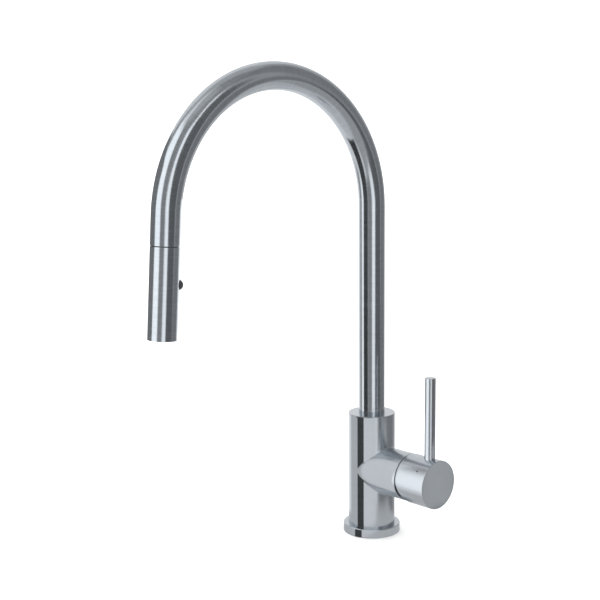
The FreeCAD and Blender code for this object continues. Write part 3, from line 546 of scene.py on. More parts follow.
@dataclass(frozen=True)
class PlainBrushedSteel:
    """Brushed steel for a surface without a UV map: fine lines across the height."""

    light: Vec = (0.60, 0.625, 0.65)
    dark: Vec = (0.53, 0.555, 0.585)
    roughness: float = 0.14
    slow: float = 70.0
    quick: float = 3500.0
    relief: float = 0.006

    def fill(self, net: Net) -> None:
        """Make lines from noise that changes quickly with z and slowly with x and y."""
        x, y, z = net.parts(net.coordinates("Object"))
        grain = net.noise(net.vector(x * self.slow, y * self.slow, z * self.quick), 1.0, 3.0)
        net.surface(
            Base_Color=net.blended(grain, self.dark, self.light),
            Metallic=1.0,
            Roughness=self.roughness + grain * 0.10,
            Normal=net.bump(grain, self.relief),
        )


@dataclass(frozen=True)
class TurnedMetal:
    """Plain machined metal with faint tool marks and a stain of handling."""

    colour: Vec
    dull: Vec
    roughness: float
    relief: float = 0.004

    def fill(self, net: Net) -> None:
        """Make tool marks from fine noise and dull patches from coarse noise."""
        place = net.coordinates("Object")
        marks = net.noise(place, 2600.0, 3.0)
        patch = net.noise(place, 120.0, 4.0)
        net.surface(
            Base_Color=net.blended(patch.step(0.3, 0.75), self.dull, self.colour),
            Metallic=1.0,
            Roughness=self.roughness + (patch - 0.5) * 0.16,
            Normal=net.bump(marks, self.relief),
        )


@dataclass(frozen=True)
class Moulded:
    """Moulded plastic or rubber: a fine sparked texture, slightly uneven colour and gloss."""

    colour: Vec
    shade: Vec
    roughness: float
    texture: float = 1400.0
    relief: float = 0.01

    def fill(self, net: Net) -> None:
        """Make the texture from fine noise and the unevenness from coarse noise."""
        place = net.coordinates("Object")
        pores = net.noise(place, self.texture, 3.0)
        cloud = net.noise(place, 90.0, 3.0)
        net.surface(
            Base_Color=net.blended(cloud.step(0.3, 0.7), self.shade, self.colour),
            Roughness=self.roughness + (pores - 0.5) * 0.12 + (cloud - 0.5) * 0.08,
            Normal=net.bump(pores, self.relief),
        )


@dataclass(frozen=True)
class BraidedSleeve:
    """Woven nylon sleeve: two sets of strands that cross at a steep angle."""

    light: Vec = (0.36, 0.37, 0.39)
    dark: Vec = (0.10, 0.105, 0.115)
    strands: float = 20.0
    pitch: float = 2.2

    def fill(self, net: Net) -> None:
        """Make strands where sin(strands u + v) and sin(strands u - v) are both far from zero."""
        u, v, _ = net.parts(net.coordinates("UV"))
        turn = u * (self.strands * 2 * math.pi)
        climb = v * (2 * math.pi / (self.pitch * MM))
        weave = ((turn + climb).sine() * (turn - climb).sine()).size()
        cover = weave.step(0.02, 0.5)
        net.surface(
            Base_Color=net.blended(cover, self.dark, self.light),
            Roughness=0.62 - cover * 0.14,
            Normal=net.bump(cover, 0.12),
        )


SATIN = BrushedSteel((0.560, 0.600, 0.640), (0.530, 0.570, 0.612), 0.25, line=0.3, relief=0.006, wear=0.04)
# Painted shade: the dome cover ring's steel is coloured near-black to stand for the shade in the seam under
# the tilted cap.
SHADOWED = BrushedSteel((0.10, 0.105, 0.115), (0.07, 0.075, 0.08), roughness=0.35)

FINISHES: dict[Slot, Finish] = {
    Slot.STEEL: BrushedSteel(),
    Slot.BRASS: TurnedMetal((0.80, 0.62, 0.33), (0.62, 0.45, 0.22), 0.28),
    Slot.PLAIN_STEEL: TurnedMetal((0.58, 0.59, 0.60), (0.45, 0.46, 0.48), 0.30),
    Slot.RUBBER: Moulded((0.030, 0.030, 0.032), (0.018, 0.018, 0.020), 0.62),
    Slot.WHITE: Moulded((0.84, 0.84, 0.82), (0.76, 0.76, 0.74), 0.42),
    Slot.DARK: Moulded((0.055, 0.058, 0.062), (0.036, 0.038, 0.042), 0.36),
    Slot.CERAMIC: Moulded((0.90, 0.89, 0.86), (0.84, 0.83, 0.80), 0.16, 2400.0, 0.003),
    Slot.BRAID: BraidedSleeve(),
}

NODE_FINISHES: dict[Slot, tuple[str, Finish]] = {
    Slot.STEEL: ("steel_plain_grain", PlainBrushedSteel()),
    Slot.BRAID: ("braid_on_node", Moulded((0.34, 0.35, 0.37), (0.16, 0.165, 0.175), 0.55, 700.0, 0.12)),
}


class Workshop:
    """Makes each finish once and dresses, places and reports the pieces."""

    def __init__(self) -> None:
        """Start with no materials."""
        self.materials: dict[str, bpy.types.Material] = {}

    def material(self, name: str, finish: Finish) -> bpy.types.Material:
        """Give the material of a finish, and make it the first time.

        Args:
            name: The material's name.
            finish: Its finish.

        Returns:
            The material.
        """
        if name not in self.materials:
            made = bpy.data.materials.new(name)
            made.use_nodes = True
            finish.fill(Net(made.node_tree))
            self.materials[name] = made
        return self.materials[name]

    def dress(self, piece: bpy.types.Object, slot: Slot, finish: Finish | None = None) -> None:
        """Put a slot's usual finish, or another one, on a piece.

        Args:
            piece: The piece.
            slot: Its material slot.
            finish: A finish of its own, if it has one.
        """
        name = slot.value if finish is None else slot.value + "." + piece.name
        piece.data.materials.clear()
        piece.data.materials.append(self.material(name, finish or FINISHES[slot]))

    def fit(
        self,
        piece: bpy.types.Object,
        body: Body,
        slot: Slot,
        replaces: Sequence[str],
        finish: Finish | None = None,
    ) -> bpy.types.Object:
        """Dress a new piece, let it ride on a body and stand for frame nodes.

        Args:
            piece: The new piece.
            body: The body that it rides on.
            slot: The record's slot for its finish.
            replaces: Frame nodes that it stands for.
            finish: A finish of its own in place of the slot's.

        Returns:
            The piece.
        """
        self.dress(piece, slot, finish)
        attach(piece, body.value)
        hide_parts(*replaces)
        LOG.info("%s rides on %s", piece.name, body.value)
        return piece


# ---------------------------------------------------------------- sub-assemblies


@dataclass
class DeckFitting:
    """Flange on the deck, and the threaded shank with its nut and washers below it."""

    shop: Workshop
    edge: float = 0.6
    inner_edge: float = 0.3
    thread_r: float = 16.5
    shank_wall: float = 2.3
    spigot_low: float = -6.0
    thread_end: float = -7.0
    bore_gap: float = 0.3
    thread_pitch: float = 1.5
    thread_depth: float = 0.75
    thread_chamfer: float = 1.2
    columns: int = 128
    axis: Axis = field(default_factory=lambda: Axis((0, 0, 0), X_AXIS, Y_AXIS))

    def ring(self, node: str, bore: float, edge: float) -> Patch:
        """Turn a ring with rounded edges.

        Args:
            node: The node whose box gives its height and outer radius.
            bore: Its bore's radius.
            edge: The radius of its edges.

        Returns:
            The ring.
        """
        low, high = box_mm(node)
        outer, middle = high[0], (low[2] + high[2]) / 2
        inner_edge = min(edge, self.inner_edge)
        corners = [
            (bore, middle, 0),
            (bore, low[2], inner_edge),
            (outer, low[2], edge),
            (outer, high[2], edge),
            (bore, high[2], inner_edge),
            (bore, middle, 0),
        ]
        return carried(rounded(corners), self.axis, full_turn(self.columns))

    def shank(self) -> bpy.types.Object:
        """Make the shank, with a real thread below its spigot.

        The thread's radius is crest - depth * |2 f - 1| with f the part of a pitch that
        along / pitch - angle / turn leaves over, and the depth fades to the root at its ends.
        """
        low, high = box_mm("threaded_shank")
        nominal, foot, top = self.thread_r, low[2], high[2]
        bore = nominal - self.shank_wall
        angles = full_turn(96)
        along = np.arange(foot + self.thread_chamfer, self.thread_end, self.thread_pitch / 8)
        part = (along[:, None] / self.thread_pitch - angles[None, :] / (2 * math.pi)) % 1
        fade = np.clip((self.thread_end - along) / self.thread_pitch, 0, 1)[:, None]
        radius = nominal - self.thread_depth * (np.abs(2 * part - 1) * fade + (1 - fade))
        thread = np.stack((radius, np.broadcast_to(along[:, None], radius.shape)), axis=-1)
        root = nominal - self.thread_depth
        middle, edge = (foot + top) / 2, self.inner_edge
        tip = [(root - 0.6, foot, edge), (root - 0.4, foot + 0.4, 0)]
        lower = rounded([(bore, middle, 0), (bore, foot, edge), *tip])
        upper = rounded(
            [
                (root, self.thread_end, 0),
                (root, self.spigot_low, 0),
                (high[0], self.spigot_low, 0.4),
                (high[0], 0.0, 0),
                (nominal, 0.0, 0),
                (nominal, top, edge),
                (bore, top, edge),
                (bore, middle, 0),
            ]
        )
        ends = [np.broadcast_to(end[:, None, :], (len(end), len(angles), 2)) for end in (lower, upper)]
        profile = np.concatenate((ends[0], thread, ends[1]))
        return joined("shank_threaded", [carried(profile, self.axis, angles)])

    def build(self) -> None:
        """Build and fit the deck pieces."""
        spigot_r = box_mm("threaded_shank")[1][0]
        flange = joined("flange_plate", [self.ring("base_flange", spigot_r + self.bore_gap, self.edge)])
        self.shop.fit(flange, Body.BASE, Slot.STEEL, ["base_flange"], SATIN)
        self.shop.fit(self.shank(), Body.BASE, Slot.BRASS, ["threaded_shank"])
        washers = (("rubber_washer", Slot.RUBBER, 0.7), ("steel_washer", Slot.PLAIN_STEEL, 0.35))
        for node, slot, edge in washers:
            washer = joined(node + "_turned", [self.ring(node, self.thread_r + self.bore_gap, edge)])
            self.shop.fit(washer, Body.CLAMP, slot, [node])


@dataclass
class ValveBody:
    """Upright body with its side branch, in one skin with real bores."""

    shop: Workshop
    columns: int = 64
    upright_rows: int = 24
    blend_rows: int = 8
    branch_rows: int = 20
    hose_rows: int = 24
    blend_r: float = 0.8
    edge: float = 0.45
    fit_gap: float = 0.1
    spout_r: float = 12.5
    shank_r: float = 16.55
    hose_gap_r: float = 6.2
    hose_offset: float = 5.2
    hose_straight: float = 5.0
    branch_z: float = 64.6
    socket_floor: float = 77.0
    shank_top: float = 24.0
    seat_x: float = 17.5
    shoulder_x: float = 38.0
    cartridge_r: float = 17.6
    nut_r: float = 20.1

    def __post_init__(self) -> None:
        """Take the outside sizes from the frame."""
        low, high = box_mm("valve_body")
        self.radius = high[1]
        self.bottom, self.top = low[2], high[2]
        self.branch_end = high[0]

    def front(self, side: float) -> Patch:
        """Make the front half of the skin above (side = 1) or below (side = -1) the branch's axis.

        Down the upright the points are (R cos t, R sin t, z). Where it meets the branch an arc of
        radius q about ((R + q) cos t, (R + q) sin t, zc + side (R + q) cos t) leads on to
        (x, R sin t, zc + side R cos t), the branch's own skin.

        Args:
            side: 1 for the half above the axis, -1 for the half below.

        Returns:
            The half's patch.
        """
        t = np.linspace(-math.pi / 2, math.pi / 2, self.columns + 1)
        r, q, zc = self.radius, self.blend_r, self.branch_z
        end = self.top - self.edge if side > 0 else self.bottom
        cos, sin = np.cos(t), np.sin(t)
        start = np.stack((r * cos, r * sin, np.full_like(t, end)), axis=-1)
        on_body = np.stack((r * cos, r * sin, zc + side * (r + q) * cos), axis=-1)
        on_branch = np.stack(((r + q) * cos, r * sin, zc + side * r * cos), axis=-1)
        middle = np.stack(((r + q) * cos, (r + q) * sin, zc + side * (r + q) * cos), axis=-1)
        share = np.linspace(0, 1, self.blend_rows + 1)[:, None, None]
        first, last = on_body - middle, on_branch - middle
        span = np.linalg.norm(first, axis=-1) * np.linalg.norm(last, axis=-1)
        cosine = (first * last).sum(-1) / np.maximum(span, TINY)
        angle = np.maximum(np.arccos(np.clip(cosine, -1, 1)), FLAT_ANGLE)[None, :, None]
        arc = middle + (np.sin((1 - share) * angle) * first + np.sin(share * angle) * last) / np.sin(angle)
        far = np.stack((np.full_like(t, self.branch_end - self.edge), r * sin, zc + side * r * cos), axis=-1)
        up = between(start, on_body, self.upright_rows)
        out = between(on_branch, far, self.branch_rows)
        points = np.concatenate((up[:-1], arc, out[1:]))
        height, reach = points[..., 2], points[..., 0]
        bent = np.concatenate((np.zeros(self.upright_rows), share[:, 0, 0], np.ones(self.branch_rows)))
        v = (height * (1 - bent[:, None]) + reach * bent[:, None]) * MM
        u = np.broadcast_to(t / (2 * math.pi), v.shape)
        return Patch(points, np.stack((u, v), axis=-1))

    def back(self) -> list[Patch]:
        """Make the plain back half: (R cos t, R sin t, z), its rows level with the front's."""
        t = np.linspace(math.pi / 2, 3 * math.pi / 2, self.columns + 1)
        edge = np.stack((self.radius * np.cos(t), self.radius * np.sin(t), np.zeros_like(t)), axis=-1)
        patches = []
        for end in (self.top - self.edge, self.bottom):
            rows = between(edge + (0, 0, end), edge + (0, 0, self.branch_z), self.upright_rows)
            uv = np.stack((np.broadcast_to(t / (2 * math.pi), rows.shape[:2]), rows[..., 2] * MM), axis=-1)
            patches.append(Patch(rows, uv))
        return patches

    def bores(self) -> list[Patch]:
        """Make the top face and spout socket, the foot and shank bore, the hose's way, the cartridge bore."""
        angles = full_turn(2 * self.columns)
        upright = Axis((0, 0, 0), X_AXIS, Y_AXIS)
        branch = Axis((0, 0, self.branch_z), Z_AXIS, -Y_AXIS)
        socket = self.spout_r + self.fit_gap
        top = rounded(
            [
                (self.radius, self.top - self.edge, 0),
                (self.radius, self.top, self.edge * 0.99),
                (socket, self.top, 0.15),
                (socket, self.socket_floor, 0),
                (self.hose_gap_r, self.socket_floor, 0),
            ]
        )
        end = self.branch_end
        mouth = rounded(
            [
                (self.radius, end - self.edge, 0),
                (self.radius, end, self.edge * 0.99),
                (self.nut_r, end, 0.2),
                (self.nut_r, self.shoulder_x, 0),
                (self.cartridge_r, self.shoulder_x, 0.2),
                (self.cartridge_r, self.seat_x, 0),
                (0, self.seat_x, 0),
            ]
        )
        shank = [(self.shank_r, self.bottom), (self.shank_r, self.shank_top)]
        foot = np.array([(self.radius, self.bottom), *shank])
        low, high = self.shank_top + self.hose_straight, self.socket_floor
        height = np.linspace(self.shank_top, high, self.hose_rows + 1)
        part = np.clip((height - low) / (high - low), 0, 1)
        shift = -self.hose_offset * (1 - part * part * (3 - 2 * part))
        circle = np.stack((np.cos(angles), np.sin(angles), np.zeros_like(angles)), axis=-1)
        centre = np.stack((shift, np.zeros_like(shift), height), axis=-1)
        way = centre[:, None, :] + self.hose_gap_r * circle[None]
        ceiling = between(self.shank_r * circle + (0, 0, self.shank_top), way[0], 2)
        plain = np.zeros((*way.shape[:2], 2))
        return [
            carried(top, upright, angles),
            carried(foot, upright, angles),
            carried(mouth, branch, angles),
            Patch(way, plain),
            Patch(ceiling, plain[:3]),
        ]

    def build(self) -> None:
        """Build and fit the body."""
        patches = [self.front(1.0), self.front(-1.0), *self.back(), *self.bores()]
        self.shop.fit(joined("body_shell", patches), Body.BASE, Slot.STEEL, ["valve_body"], SATIN)


@dataclass
class Spout:
    """Riser and arch in one tube, and the hose that comes out of its end."""

    shop: Workshop
    spring: float = 318.6
    sweep_degrees: float = 176.0
    straight: float = 24.8
    foot: float = 95.0
    wall: float = 1.5
    rim_edge: float = 0.14
    rim_reach: float = 1.0
    columns: int = 112
    hose_r: float = 5.0
    hose_below: float = 4.0
    hose_above: float = 22.0

    def __post_init__(self) -> None:
        """Take the tube's and the arch's radii from the frame."""
        low, high = box_mm("spout_tube")
        self.radius = high[0]
        self.arch_r = high[2] - self.spring - self.radius
        self.line = ArchLine(self.spring, self.arch_r, math.radians(self.sweep_degrees))
        self.end = self.spring + self.arch_r * math.radians(self.sweep_degrees) + self.straight

    def tube(self) -> bpy.types.Object:
        """Make the tube: a wall's closed outline, 2 mm rows on the arch, carried along its line."""
        outer, inner, edge = self.radius, self.radius - self.wall, self.rim_edge
        low, high = self.foot, self.end
        first, last = low + self.rim_reach, high - self.rim_reach
        riser = np.linspace(first, self.spring, 40)
        arch = np.linspace(self.spring, high - self.straight, 170)
        rows = np.concatenate((riser[:-1], arch, np.linspace(high - self.straight, last, 8)[1:]))
        rim = rounded([(outer, last, 0), (outer, high, edge), (inner, high, edge), (inner, last, 0)])
        foot = rounded([(inner, first, 0), (inner, low, 0), (outer, low, edge), (outer, first, 0)])
        outside = np.stack((np.full_like(rows, outer), rows), axis=-1)
        inside = np.stack((np.full_like(rows, inner), rows), axis=-1)[::-1]
        profile = np.concatenate((outside, rim[1:-1], inside, foot[1:]))
        return joined("spout_arch", [carried(profile, self.line, full_turn(self.columns))])

    def hose(self) -> bpy.types.Object:
        """Make the hose's last stretch as rings close together along the spout's line."""
        low, high = self.end - self.hose_above, self.end + self.hose_below
        rows = np.linspace(low, high, 60)
        side = np.stack((np.full_like(rows, self.hose_r), rows), axis=-1)
        profile = np.concatenate(([(0, low)], side, [(0, high)]))
        return joined("hose_stretch", [carried(profile, self.line, full_turn(48))])

    def place(self, along: float) -> Vec:
        """Give a point of the spout's line.

        Args:
            along: Distance along the line from the deck, in millimetres.

        Returns:
            The point, in metres.
        """
        centre = self.line.frame(np.array([along]))[0][0] * MM
        return tuple(float(value) for value in centre)

    def build(self) -> None:
        """Build and fit the tube, and make and dress the hose in place of the hose tail."""
        self.shop.fit(self.tube(), Body.SPOUT, Slot.STEEL, ["spout_tube"])
        hose = self.hose()
        self.shop.dress(hose, Slot.BRAID)
        start = self.end - self.hose_above + self.rim_reach
        end = self.end + self.hose_below - self.rim_reach
        self.place(start)
        self.place(end)
        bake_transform(hose)
        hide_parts("hose_tail")
        LOG.info("hose_stretch bends between spout and hose_end")


@dataclass
class Handle:
    """Cap over the cartridge, the lever rod, the small plug and the domed cover ring."""

    shop: Workshop
    columns: int = 128
    branch_z: float = 64.6
    pivot_x: float = 46.0
    relief_degrees: float = 18.5
    wall: float = 1.35
    dome_gap: float = 0.3
    edge: float = 0.55
    rim_edge: float = 0.25
    rim_gap: float = 0.3
    stem_half: float = 4.05
    lever_from_end: float = 10.8
    lever_seat: float = 1.2
    index_degrees: float = 50.0
    index_r: float = 0.95
    dome_wall: float = 2.3
    dome_mouth_r: float = 13.0
    skirt_r: float = 20.05
    skirt_x: float = 46.7
    dot_proud: float = 0.12
    dot_depth: float = 1.6

    def __post_init__(self) -> None:
        """Take the cap's and the lever's sizes from the frame."""
        low, high = box_mm("handle_cap")
        self.start, self.end = low[0] + self.rim_gap, high[0]
        self.radius = high[1]
        self.bore = self.radius - self.wall
        self.lever_x = self.end - self.lever_from_end
        low, high = box_mm("handle_lever")
        self.lever_r = high[1]
        self.lever_top = high[2]
        self.branch_end = box_mm("valve_body")[1][0]
        self.axis = Axis((0, 0, self.branch_z), Z_AXIS, -Y_AXIS)

    def cap(self) -> bpy.types.Object:
        """Make the cap as one outline whose rim depends on the angle t from the top.

        The rim stands at start + max(0, -r cos t) tan(relief), a plane that leans away below the
        axis, and the socket for the square stem has the radius half / max(|cos t|, |sin t|).
        """
        t = full_turn(self.columns)
        cos, sin = np.cos(t), np.sin(t)
        lean = math.tan(math.radians(self.relief_degrees))
        one = np.ones_like(t)
        floor = self.pivot_x + self.bore - self.dome_gap
        socket_end = self.lever_x + self.lever_r + self.dome_gap
        square = self.stem_half / np.maximum(np.abs(cos), np.abs(sin))

        def rim(radius: float, lift: float) -> tuple[np.ndarray, np.ndarray]:
            """Give the rim's radii and places at one radius.

            Args:
                radius: The radius.
                lift: How far they lie beyond the rim's own plane.

            Returns:
                The radii and places, one for each angle.
            """
            return radius * one, self.start + np.maximum(0, -radius * cos) * lean + lift

        e = self.rim_edge
        turn = np.linspace(0, math.pi / 2, 5)
        rows = [(0 * one, socket_end * one), (square, socket_end * one), (square, floor * one)]
        rows += [(self.bore * one, floor * one)]
        inner_foot = rim(self.bore, e)
        inner = between(np.array((rows[-1][0], rows[-1][1])).T, np.array(inner_foot).T, 4)[1:]
        rows += [(row[:, 0], row[:, 1]) for row in inner]
        rows += [rim(self.bore + e * (1 - math.cos(a)), e * (1 - math.sin(a))) for a in turn[1:]]
        rows += [rim(self.radius - e + e * math.sin(a), e * (1 - math.cos(a))) for a in turn]
        outer = [(self.radius, self.start + 12, 0), (self.radius, self.end, self.edge), (0, self.end, 0)]
        edge = rounded(outer)
        outer_foot = np.array(rim(self.radius, e)).T
        last = np.broadcast_to(edge[1], outer_foot.shape)
        rows += [(row[:, 0], row[:, 1]) for row in between(outer_foot, last, 16)[1:]]
        rows += [(r * one, x * one) for r, x in edge[2:]]
        profile = np.array(rows).transpose(0, 2, 1)
        radius, along = profile[..., 0], profile[..., 1]
        patch = carried(profile, self.axis, t)
        patch.uv[..., 1] = np.where(along < self.end - 0.01, along, self.end + self.radius - radius) * MM
        return joined("handle_cup", [patch])

    def lever(self) -> bpy.types.Object:
        """Turn the lever rod, with rounded ends, up from its seat in the cap."""
        low, high, radius = self.branch_z + self.radius - self.lever_seat, self.lever_top, self.lever_r
        corners = [(0, low, 0), (radius, low, 0), (radius, high, 0.5), (0, high, 0)]
        path = Axis((self.lever_x, 0, 0), X_AXIS, Y_AXIS)
        return joined("lever_rod", [carried(rounded(corners), path, full_turn(64))])

    def plug(self) -> bpy.types.Object:
        """Turn the small plug, its face a low dome just proud of the cap."""
        turn = math.radians(self.index_degrees)
        outward = np.array((0, -math.sin(turn), math.cos(turn)))
        low, face = self.radius - self.dot_depth, self.radius + self.dot_proud
        corners = [(0, low, 0), (self.index_r, low, 0), (self.index_r, face, 0.3), (0, face + 0.05, 0)]
        path = Axis((self.lever_x, 0, self.branch_z), X_AXIS, np.cross(outward, X_AXIS))
        return joined("index_dot", [carried(rounded(corners), path, full_turn(32))])

    def dome(self) -> bpy.types.Object:
        """Turn the cover ring: a ball surface about the tilt axis, with a skirt inside the branch.

        The ball's radius at x is sqrt(R^2 - (x - pivot)^2), from the branch's end to its mouth.
        """
        ball = self.bore - self.dome_gap
        inner = ball - self.dome_wall
        reach = math.sqrt(ball**2 - self.dome_mouth_r**2)
        inside = math.sqrt(inner**2 - self.dome_mouth_r**2)
        first = math.acos((self.branch_end - self.pivot_x) / ball)
        angle = np.linspace(first, math.acos(reach / ball), 30)
        outside = np.stack((ball * np.sin(angle), self.pivot_x + ball * np.cos(angle)), axis=-1)
        back = np.linspace(math.acos(inside / inner), math.radians(85), 20)
        within = np.stack((inner * np.sin(back), self.pivot_x + inner * np.cos(back)), axis=-1)
        low = (self.skirt_r, self.skirt_x)
        foot = [(inner * math.sin(back[-1]), self.skirt_x + 0.9), (inner - 0.4, self.skirt_x), low]
        closing = [(self.skirt_r, self.branch_end), tuple(outside[0])]
        profile = np.concatenate((outside, within, foot, closing))
        return joined("dome_cover", [carried(profile, self.axis, full_turn(self.columns))])

    def build(self) -> None:
        """Build and fit the handle's pieces."""
        self.shop.fit(self.cap(), Body.LEVER, Slot.STEEL, ["handle_cap"], SATIN)
        self.shop.fit(self.lever(), Body.LEVER, Slot.STEEL, ["handle_lever"], SATIN)
        self.shop.fit(self.plug(), Body.LEVER, Slot.DARK, ["index_plug"])
        # The dome cover ring's near-black steel is painted shade of the seam under the cap.
        self.shop.fit(self.dome(), Body.BASE, Slot.STEEL, ["dome_ring"], SHADOWED)


@dataclass
class SprayHead:
    """Pull-out head: its sleeve with the button's hole, the domed button and its springs."""

    shop: Workshop
    nodes: dict[str, bpy.types.Object]
    spout: Spout
    length: float = 77.6
    wall: float = 1.3
    seam: float = 0.75
    edge: float = 0.16
    button_down: float = 32.0
    button_degrees: float = 25.0
    button_r: float = 4.5
    button_gap: float = 0.3
    button_proud: float = 3.6
    button_dome: float = 3.4
    button_depth: float = 4.0
    cells: int = 14
    columns: int = 96

    def __post_init__(self) -> None:
        """Set the head's axis, on from the spout's end, and the button's direction."""
        centres, _, outwards = self.spout.line.frame(np.array([self.spout.end]))
        self.seam_place, outward = centres[0], outwards[0]
        self.radius = self.spout.radius
        self.axis = Axis(self.seam_place, X_AXIS, outward)
        self.forward = np.cross(X_AXIS, outward)
        self.button_angle = -math.pi / 2 + math.radians(self.button_degrees)
        self.across = math.cos(self.button_angle) * X_AXIS + math.sin(self.button_angle) * outward

    def sleeve(self) -> bpy.types.Object:
        """Make the sleeve: outer and inner walls, each with the hole's block, and the ends between them."""
        low, high, e = self.seam, self.length, self.edge
        hole = (self.button_angle, self.button_down)
        size = self.button_r + self.button_gap
        cells = self.cells
        pitch = 2 * math.pi / self.columns
        angles = self.button_angle - math.pi + pitch * np.arange(self.columns + 1)
        half = cells / 2 * pitch * self.radius
        block = np.linspace(hole[1] - half, hole[1] + half, cells + 1)
        rows = np.concatenate(
            (np.linspace(low + 2 * e, block[0], 9)[:-1], block, np.linspace(block[-1], high - 2 * e, 14)[1:])
        )
        patches, rims = [], []
        for radius in (self.radius, self.radius - self.wall):
            wall, border = holed_wall(self.axis, radius, rows, angles, hole, cells)
            ring = hole_rim(self.axis, radius, hole, size, border)
            patches += [wall, ring]
            rims.append(ring.points[0])
        side = between(rims[0], rims[1], 2)
        patches.append(Patch(side, np.zeros((*side.shape[:2], 2))))
        for place, way in ((low, 1), (high, -1)):
            ends = rounded(
                [
                    (self.radius, place + way * 2 * e, 0),
                    (self.radius, place, e),
                    (self.radius - self.wall, place, 0.1),
                    (self.radius - self.wall, place + way * 2 * e, 0),
                ],
                4,
            )
            patches.append(carried(ends, self.axis, angles))
        return joined("head_sleeve", patches)

    def button(self) -> bpy.types.Object:
        """Turn the button: a short barrel with a ball-shaped face.

        The face's ball has radius (r^2 + h^2) / 2h for a dome of height h on a barrel of radius r.
        """
        r, h = self.button_r, self.button_dome
        ball = (r * r + h * h) / (2 * h)
        top = self.radius + self.button_proud
        start = self.seam_place + self.button_down * self.forward
        angle = np.linspace(0, math.asin(r / ball), 18)[::-1]
        face = np.stack((ball * np.sin(angle), top - ball + ball * np.cos(angle)), axis=-1)
        low = self.radius - self.button_depth
        profile = np.concatenate(([(0, low), (r, low), (r, low + 0.3), (r, top - h - 0.2)], face))
        path = Axis(start, self.forward, np.cross(self.across, self.forward))
        return joined("button_dome", [carried(profile, path, full_turn(64))])

    def spring(self, node: str, heading: np.ndarray, moving: Body) -> None:
        """Copy a spring's mesh into a piece of its own, dressed as plain steel, in place of its frame node.

        Args:
            node: The spring's node in the frame.
            heading: The direction from its fixed end to its moving end.
            moving: The body at the moving end.
        """
        source = self.nodes[node]
        mesh = source.data.copy()
        mesh.transform(source.matrix_world)
        piece = bpy.data.objects.new(node + "_shortening", mesh)
        bpy.context.scene.collection.objects.link(piece)
        points = np.array([vertex.co for vertex in mesh.vertices])
        middle = (points.max(axis=0) + points.min(axis=0)) / 2
        reach = (points - middle) @ heading
        start, end = (tuple(float(c) for c in middle + heading * r) for r in (reach.min(), reach.max()))
        self.shop.dress(piece, Slot.PLAIN_STEEL)
        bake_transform(piece)
        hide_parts(node)
        LOG.info("%s shortens between %s and %s", piece.name, Body.HEAD.value, moving.value)

    def build(self) -> None:
        """Build and fit the sleeve and the button, and copy the springs."""
        self.shop.fit(self.sleeve(), Body.HEAD, Slot.STEEL, ["head_shell"])
        gloss = Moulded((0.030, 0.033, 0.037), (0.022, 0.024, 0.028), 0.2, 900.0, 0.004)
        self.shop.fit(self.button(), Body.DIVERTER, Slot.DARK, ["spray_button"], gloss)
        self.spring("diverter_spring", self.across, Body.DIVERTER)
        self.spring("check_valve_spring", -self.forward, Body.POPPET)


def dress_frame(shop: Workshop, frame: dict) -> None:
    """Give every frame node a finish; nodes have no UV map, so steel and braid have one for that.

    Args:
        shop: The workshop with the finishes.
        frame: The loaded frame.
    """
    slots = {part["node"]: Slot(part["material_slot"]) for part in frame["record"]["subparts"]}
    for name, node in frame["nodes"].items():
        slot = slots[name]
        if slot in NODE_FINISHES:
            node.data.materials.clear()
            node.data.materials.append(shop.material(*NODE_FINISHES[slot]))
        else:
            shop.dress(node, slot)
        LOG.info("%s dressed as %s", name, slot.value)


# ---------------------------------------------------------------- studio


@dataclass(frozen=True)
class Panel:
    """A soft panel of the studio, by the directions it fills in degrees, and its brightness."""

    left: float
    right: float
    bright: float
    low: float = -90.0
    high: float = 90.0
    soft: float = 1.5


@dataclass(frozen=True)
class Halo:
    """A thin ring light, by its middle's direction and its radius in degrees, dimmer on one side."""

    azimuth: float = 8.0
    elevation: float = 8.0
    inner: float = 28.3
    outer: float = 35.3
    swell: float = 9.0
    bright: float = 1.4
    dim: float = 0.45
    inside: float = 0.14
    dim_from: float = 17.0
    foot: float = -12.0


@dataclass(frozen=True)
class Card:
    """A flat card near the object that only its reflections show, by its four corners in mm."""

    name: str
    bright: float
    corners: tuple[Vec, Vec, Vec, Vec]

    @classmethod
    def upright(
        cls, name: str, bright: float, start: Vec, end: Vec, top_rise: float = 0.0, foot_rise: float = 0.0
    ) -> "Card":
        """Make an upright card between two of its corners.

        Args:
            name: The card's name.
            bright: Its brightness.
            start: Its lower corner at the start.
            end: Its upper corner at the end.
            top_rise: How much higher its top is at the start than at the end.
            foot_rise: How much higher its foot is at the end than at the start.

        Returns:
            The card.
        """
        (x0, y0, z0), (x1, y1, z1) = start, end
        return cls(name, bright, (start, (x1, y1, z0 + foot_rise), end, (x0, y0, z1 + top_rise)))


